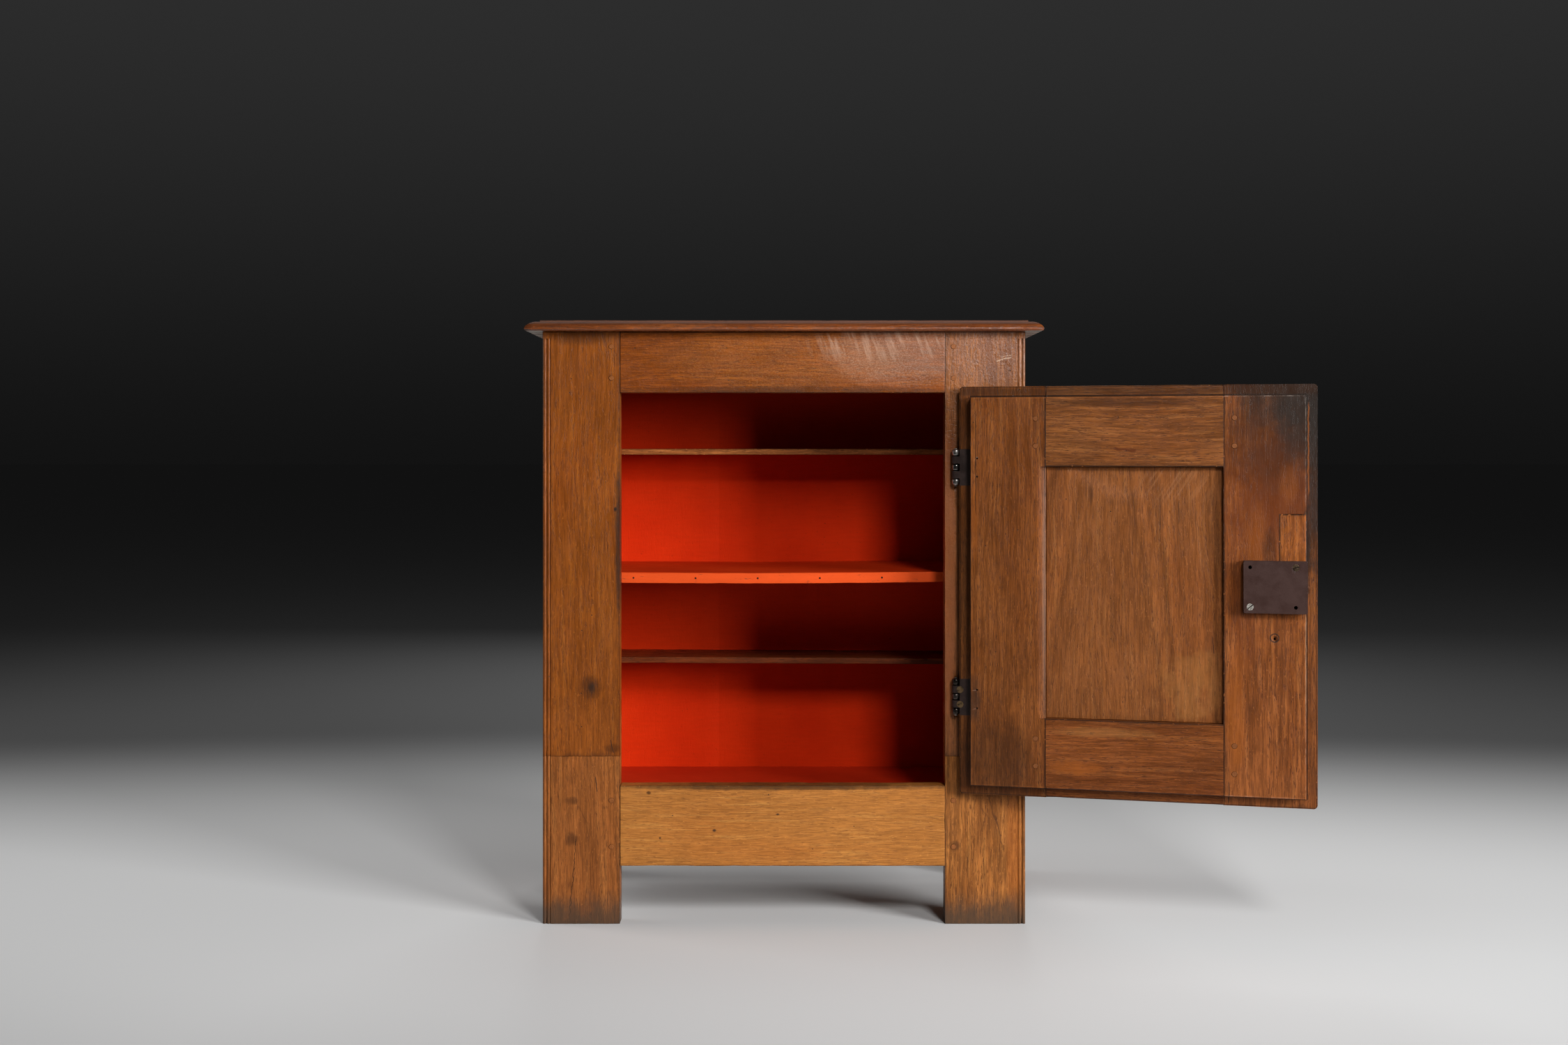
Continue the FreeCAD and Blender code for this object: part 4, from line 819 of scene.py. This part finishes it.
door_board("door_panel", (0.187, 0.061, 0.016), "upright", 15, flame=(0.4, 0.045, 2.4), shape=feather_panel,
           pitch=0.008, wander=0.035, lively=0.5, marks=(
    slanting_rays((0.28, 0.11, 0.04), (0.295, 0.657), (0.07, 0.03), 1.5, 0.5),
    # painted shade just under the arched edge, where the face is hewn thinner
    blot(grime_brown, (0.37, 0.632), (0.03, 0.008), 0.14, 2.6),
    blot(grime_brown, (0.4172, 0.642), (0.004, 0.02), 0.5),
    blot(wear_straw, (0.275, 0.37), (0.055, 0.055), 0.2, 3.2),
    slit(soot_and_shade_black, (0.2461, 0.44), (0.2436, 0.415), 0.0008, 0.7),
    blot(pore_brown, (0.385, 0.46), (0.006, 0.045), 0.35),
    slit(soot_and_shade_black, (0.319, 0.63), (0.319, 0.59), 0.0006, 0.7),
    slit(soot_and_shade_black, (0.293, 0.635), (0.293, 0.6), 0.0006, 0.7)))
door_board("door_patch", (0.22, 0.064, 0.014), "upright", 16, arris=0.0004)

# Top
# darker from the top of the nose upwards, as painted shade; pale grey under the overhanging ends
nose_shade_and_pale_ends = (above((0.06, 0.02, 0.008), 0.8925, 0.0025, 0.7),
             pale_under_ends((0.6, 0.56, 0.5), 0.8835, 0.36, 0.36))
nose_top = 0.8935
oak_board("top_front_board", (0.2, 0.05, 0.0105), "flat", 21, gloss=0.24, gleam=0.6, arris=0.0016,
          hammered=1.2, marks=nose_shade_and_pale_ends, dull_above=nose_top)
oak_board("top_rear_board", (0.16, 0.042, 0.0095), "flat", 22, gloss=0.3, gleam=0.3, arris=0.0005,
          marks=nose_shade_and_pale_ends, dull_above=nose_top)

# Sides and rear
side_oak, raw_oak, back_oak = (0.2, 0.058, 0.012), (0.16, 0.06, 0.02), (0.19, 0.08, 0.033)
for side, inner_face, seed in (("left", left_inside, 31), ("right", right_inside, 41)):
    face = (shaded_paint, (inner_face, above_floor, before_back))
    oak_board(side + "_rear_post", side_oak, "side_upright", seed, feet=True, painted=face, pitch=0.03)
    oak_board(side + "_side_top_rail", (0.21, 0.06, 0.012), "side_crosswise", seed + 1, painted=face,
              pitch=0.025)
    oak_board(side + "_side_bottom_rail", (0.22, 0.065, 0.014), "side_crosswise", seed + 2, painted=face,
              pitch=0.025)
    oak_board(side + "_side_panel", side_oak, "side_upright", seed + 3, painted=face, pitch=0.025,
              flame=(0.16, 0.05, 6.0))
oak_board("rear_top_rail", raw_oak, "crosswise", 51, pitch=0.03)
oak_board("rear_bottom_rail", raw_oak, "crosswise", 52, pitch=0.03)
for index in range(1, 4):
    node = "back_board_%d" % index
    worn_board(node, lambda low, high: oak("oak_" + node, back_oak, "upright", 52 + index, low, high,
                                           painted=(1.0, (back_inside,)), gloss=0.6, gleam=0.04),
               arris=0.0, pitch=0.2, hollow=0.0, dents=0.0)

# Inside
# the shelf, the cleats and the floor take darker copies of the inside paint, as painted shade
shelf_paint = paint("shelf_paint", 0.76, (shade(paint_deep, 1, 1.3, 1.3), shade(paint_orange, 1, 1.3, 1.3)))
cleat_paint = paint("cleat_paint", 0.4)
edging_paint = paint("edging_paint", 1.0, (shade(edging_orange, 0.92), edging_orange), 0.5)
for seed, node in enumerate(("floor_front_board", "floor_rear_board"), 58):
    worn_board(node, lambda low, high: oak("oak_" + node, raw_oak, "crosswise", seed, low, high,
                                           painted=(0.78, ((2, high.z - 0.001, 1),))), pitch=0.03, seed=seed)
worn_board("middle_shelf", lambda low, high: shelf_paint, pitch=0.03, seed=61)
worn_board("middle_shelf_edging", lambda low, high: edging_paint, seed=62, arris=0.001)
shelf_tones = {"upper_shelf": (0.47, 0.16, 0.043), "lower_shelf": (0.13, 0.027, 0.0065)}
for seed, (node, tone) in enumerate(shelf_tones.items(), 63):
    worn_board(node, lambda low, high: oak("wood_" + node, tone, "crosswise", seed, low, high, grime=0.3),
               seed=seed, pitch=0.02)
for seed, level in enumerate(("floor", "lower_shelf", "middle_shelf", "upper_shelf"), 66):
    worn_board(level + "_cleats", lambda low, high: cleat_paint, seed=seed, pitch=0.03)


# Pegs and nails
stud_rings, stud_turn = 22, 2.4


def stud_tree():
    """Tree that drives a peg or nail at every vertex: a domed head, then a shank, both whittled to flats."""
    tree = bpy.data.node_groups.new("driven_studs", "GeometryNodeTree")
    tree.is_modifier = True
    socket = tree.interface.new_socket
    socket("Geometry", in_out="INPUT", socket_type="NodeSocketGeometry")
    socket("Sides", in_out="INPUT", socket_type="NodeSocketInt")
    for name in ("Dome", "Crown", "Head", "Shank"):
        socket(name, in_out="INPUT", socket_type="NodeSocketFloat")
    socket("Material", in_out="INPUT", socket_type="NodeSocketMaterial")
    socket("Geometry", in_out="OUTPUT", socket_type="NodeSocketGeometry")
    nodes_of = Nodes(tree)
    given = {item.name: Value(nodes_of, item) for item in nodes_of.node("NodeGroupInput").socket.node.outputs}

    def kept(name, kind="FLOAT"):
        return nodes_of.node("GeometryNodeInputNamedAttribute", {"data_type": kind}, {"Name": name})

    def sized(vector, value):
        return nodes_of.node("ShaderNodeVectorMath", {"operation": "SCALE"}, {
            "Vector": vector, "Scale": value})

    line = nodes_of.node("GeometryNodeCurvePrimitiveLine", {"mode": "POINTS"}, {
        "Start": (0, 0, -0.5), "End": (0, 0, 0.5)})
    aimed = nodes_of.node("FunctionNodeAlignRotationToVector", {"axis": "Z"}, {
        "Vector": kept("way", "FLOAT_VECTOR")})
    placed = nodes_of.node("GeometryNodeInstanceOnPoints", sockets={
        "Points": given["Geometry"], "Instance": line, "Rotation": aimed,
        "Scale": nodes_of.joined(1.0, 1.0, kept("length"))})
    wires = nodes_of.node("GeometryNodeRealizeInstances", sockets={"Geometry": placed})
    wires = nodes_of.node("GeometryNodeResampleCurve", {"mode": "COUNT"}, {
        "Curve": wires, "Count": stud_rings})
    share = nodes_of.node("GeometryNodeSplineParameter", output="Factor")
    turn = nodes_of.node("ShaderNodeMath", {"operation": "COSINE"}, {0: share * math.pi})
    crowded = 0.5 - 0.5 * turn
    wires = nodes_of.node("GeometryNodeStoreNamedAttribute", {"data_type": "FLOAT", "domain": "POINT"}, {
        "Geometry": wires, "Name": "from_head", "Value": crowded * kept("length")})
    wires = nodes_of.node("GeometryNodeSetPosition", sockets={
        "Geometry": wires, "Offset": sized(kept("way", "FLOAT_VECTOR"), (crowded - share) * kept("length"))})
    from_head = kept("from_head")
    head = nodes_of.step(from_head, 0.0, given["Dome"], given["Crown"], 1.0)
    tail = nodes_of.step(kept("length") - from_head, 0.0, given["Dome"], given["Crown"], 1.0)
    dome = head.least(tail)
    shank = nodes_of.step(from_head, given["Head"], given["Head"] * 1.3, 1.0, given["Shank"])
    wires = nodes_of.node("GeometryNodeStoreNamedAttribute", {"data_type": "FLOAT", "domain": "POINT"}, {
        "Geometry": wires, "Name": "rim", "Value": dome})
    wires = nodes_of.node("GeometryNodeSetCurveTilt", sockets={"Curve": wires, "Tilt": kept("turn")})
    profile = nodes_of.node("GeometryNodeCurvePrimitiveCircle", {"mode": "RADIUS"}, {
        "Resolution": given["Sides"], "Radius": 1.0})
    studs = nodes_of.node("GeometryNodeCurveToMesh", sockets={
        "Curve": wires, "Profile Curve": profile, "Scale": dome * shank * kept("thick"), "Fill Caps": True})
    studs = nodes_of.node("GeometryNodeRealizeInstances", sockets={"Geometry": studs})
    studs = nodes_of.node("GeometryNodeSetMaterial", sockets={
        "Geometry": studs, "Material": given["Material"]})
    nodes_of.node("NodeGroupOutput", sockets={0: studs})
    return tree


studs = stud_tree()


def drive_studs(name, driven, material, slot, on_door=False, proud=0.0, **sizes):
    """Pegs or nails in place of the nodes driven, standing proud by a hair."""
    places = [place for node in driven for place in stud_places(node, on_door)]
    mesh = bpy.data.meshes.new(name)
    mesh.from_pydata([middle - way * proud / 2 for middle, way, length, radius in places], [], [])
    columns = {"way": ("FLOAT_VECTOR", [way for middle, way, length, radius in places]),
               "length": ("FLOAT", [length + proud for middle, way, length, radius in places]),
               "thick": ("FLOAT", [radius for middle, way, length, radius in places]),
               "turn": ("FLOAT", [stud_turn * index for index in range(len(places))])}
    for column, (kind, values) in columns.items():
        attribute = mesh.attributes.new(column, kind, "POINT")
        for item, value in zip(attribute.data, values):
            if kind == "FLOAT":
                item.value = value
            else:
                item.vector = value
    rough_piece = rough_object(name, mesh)
    modifier = rough_piece.modifiers.new("studs", "NODES")
    modifier.node_group = studs
    sizes["Material"] = material
    for item in studs.interface.items_tree:
        if item.in_out == "INPUT" and item.name in sizes:
            modifier[item.identifier] = sizes[item.name]
    made = plain_mesh(rough_piece)
    if on_door:
        made.transform(shut.inverted())
    smooth_faces(made, sharp_angle)
    set_piece(name, made, "door" if on_door else "carcass", driven)


peg_sizes = {"Sides": 9, "Dome": 0.0005, "Crown": 0.88, "Head": 1.0, "Shank": 1.0}
nail_sizes = {"Sides": 7, "Dome": 0.0009, "Crown": 0.4, "Head": 0.0016, "Shank": 0.55}
front_peg = peg_finish("front_peg", (0.22, 0.068, 0.014))
door_peg = peg_finish("door_peg", (0.165, 0.052, 0.0125))
nail_iron = iron("nail_iron", (0.05, 0.032, 0.026))
drive_studs("cleft_pegs", carcass_pegs, front_peg, "oak", proud=0.0006, **peg_sizes)
drive_studs("door_cleft_pegs", ("door_pegs",), door_peg, "oak", on_door=True, proud=0.0003, **peg_sizes)
drive_studs("driven_nails", ("back_nails", "shelf_nails", "frame_leaf_nails"), nail_iron, "iron",
            **nail_sizes)
drive_studs("door_driven_nails", ("door_leaf_nails", "escutcheon_pins"), nail_iron, "iron", on_door=True,
            **nail_sizes)

# Iron
hinge_iron = iron("hinge_iron", (0.03, 0.0165, 0.0135), metal=0.1, gleam=0.3)
rubbed_iron = iron("rubbed_iron", (0.32, 0.3, 0.28), metal=1.0, gloss=0.2, rust=0.1, mottle=0.4, pitting=0.12)
black_iron = iron("black_iron", (0.09, 0.075, 0.066), metal=1.0, gloss=0.24, rust=0.6, mottle=0.6,
                  pitting=0.3)
lock_iron = iron("lock_iron", (0.033, 0.013, 0.0095), metal=0.0, gloss=0.42, rust=0.12, mottle=0.1, gleam=0.3)
spring_steel = bright_metal("spring_steel", (0.3, 0.27, 0.25), 0.35)
brazing_brass = bright_metal("brazing_brass", (0.28, 0.18, 0.09), 0.36, 0.85)


knuckle_radius, knuckle_round, knuckle_gap = 0.006, 0.003, 0.0004


def bead_knuckles(board):
    """Rounds the ends of a leaf's knuckles, worn like beads."""
    low, high = corners(board)
    spacing = (high.z - low.z + knuckle_gap) / 5
    for vert in board.verts:
        off = vert.co.xy - hinge_pin.xy
        if 0.6 * knuckle_radius < off.length < 1.1 * knuckle_radius:
            height = (vert.co.z - low.z) % spacing
            from_end = min(height, spacing - knuckle_gap - height)
            pinch = min(1.0, max(0.0, 1 - from_end / knuckle_round))
            off *= 1 - 0.42 * pinch * pinch
            vert.co.x = hinge_pin.x + off.x
            vert.co.y = hinge_pin.y + off.y


iron_wear = {"arris": 0.0005, "hollow": 0.0001, "dents": 0.0003}
for seed, (node, material) in enumerate((("upper_hinge_frame_leaf", rubbed_iron),
                                         ("lower_hinge_frame_leaf", black_iron)), 78):
    worn_board(node, lambda low, high: material, pitch=0.0008, seed=seed, shape=bead_knuckles, **iron_wear)
for seed, (node, on_door, material) in enumerate((
        ("hinge_pins", False, rubbed_iron), ("upper_hinge_door_leaf", True, hinge_iron),
        ("lower_hinge_door_leaf", True, hinge_iron), ("lower_hinge_brazing", True, brazing_brass),
        ("lock_case", True, lock_iron), ("lock_cover", True, lock_iron), ("lock_bolt", True, lock_iron),
        ("lock_spring", True, spring_steel), ("escutcheon", True, lock_iron)), 81):
    worn_board(node, lambda low, high: material, pitch=0.02, on_door=on_door, seed=seed, **iron_wear)

for node, tone, dulled in (("lock_new_screw", (0.75, 0.7, 0.62), 0.3),
                           ("lock_old_screw", (0.12, 0.08, 0.05), 0.65)):
    worn_board(node, lambda low, high: bright_metal("metal_" + node, tone, 0.3, dulled, high.y),
               arris=0.0002, pitch=0.02, hollow=0.0, dents=0.0, on_door=True)

# Floor, light and camera
# the floor is painted pale round the cabinet and darker further off, a painted pool of light
floor_pale, floor_far, wall_low, wall_high, fill_grey = 0.62, 0.09, 0.006, 0.028, 0.05
fade_start, fade_end, fade_squeeze = 0.4, 1.7, 0.4
cabinet_middle = Vector((0.36, 0.1, 0.5))


def plain_grey(level):
    return (level, level, level)


floor_mesh = bpy.data.meshes.new("floor")
reach = 90.0
floor_mesh.from_pydata([(-reach, -reach, 0), (reach, -reach, 0), (reach, reach, 0), (-reach, reach, 0)], [],
                       [(0, 1, 2, 3)])
floor = bpy.data.objects.new("floor", floor_mesh)
bpy.context.scene.collection.objects.link(floor)
floor_finish = Finish("pale_floor")
floor_x, floor_y = floor_finish.split(floor_finish.place)[:2]
off_x = (floor_x - cabinet_middle.x) * fade_squeeze
off_y = floor_y - cabinet_middle.y
far = floor_finish.root(off_x * off_x + off_y * off_y)
floor_colour = floor_finish.mix(floor_finish.step(far, fade_start, fade_end), plain_grey(floor_pale),
                                plain_grey(floor_far))
floor_finish.feed(Base_Color=floor_colour, Roughness=0.8, Specular_IOR_Level=0.1)
floor_mesh.materials.append(floor_finish.material)

world = bpy.data.worlds.new("studio")
bpy.context.scene.world = world
world.use_nodes = True
sky = Nodes(world.node_tree)
path = sky.node("ShaderNodeLightPath").socket.node.outputs
seen = [Value(sky, path[name]) for name in ("Is Camera Ray", "Is Glossy Ray", "Is Transmission Ray")]
rise = sky.split(sky.node("ShaderNodeTexCoord", output="Generated"))[2]
wall = sky.mix(sky.step(rise, -0.03, 0.32), plain_grey(wall_low), plain_grey(wall_high))
shown = sky.mix((seen[0] + seen[1]).most(seen[2]).least(1.0), plain_grey(fill_grey), wall)
world.node_tree.links.new(shown.socket, world.node_tree.nodes["Background"].inputs["Color"])


def soft_box(name, place, size, power):
    """Soft box at a place, aimed at the middle of the cabinet."""
    light = bpy.data.lights.new(name, "AREA")
    light.shape = "RECTANGLE"
    light.size, light.size_y = size
    light.energy = power
    holder = bpy.data.objects.new(name, light)
    holder.location = place
    holder.rotation_mode = "QUATERNION"
    holder.rotation_quaternion = (cabinet_middle - Vector(place)).to_track_quat("-Z", "Y")
    bpy.context.scene.collection.objects.link(holder)


soft_box("high_key", (1.18, -2.2, 2.0), (0.5, 0.7), 40)
soft_box("side_key", (4.11, -2.68, 1.44), (1.65, 1.5), 290)
soft_box("left_fill", (-3.0, 0.6, 1.6), (1.6, 1.6), 40)
soft_box("rear_fill", (0.4, 3.2, 2.0), (1.8, 1.8), 45)

camera = bpy.data.cameras.new("camera")
camera.sensor_width = 36.0
camera.lens = 38.5
camera.shift_y = -0.0453
camera_holder = bpy.data.objects.new("camera", camera)
camera_holder.location = (0.36, -2.5, 0.7045)
camera_holder.rotation_euler = (math.radians(90), 0, 0)
bpy.context.scene.collection.objects.link(camera_holder)
bpy.context.scene.camera = camera_holder
bpy.context.scene.view_settings.view_transform = "Standard"
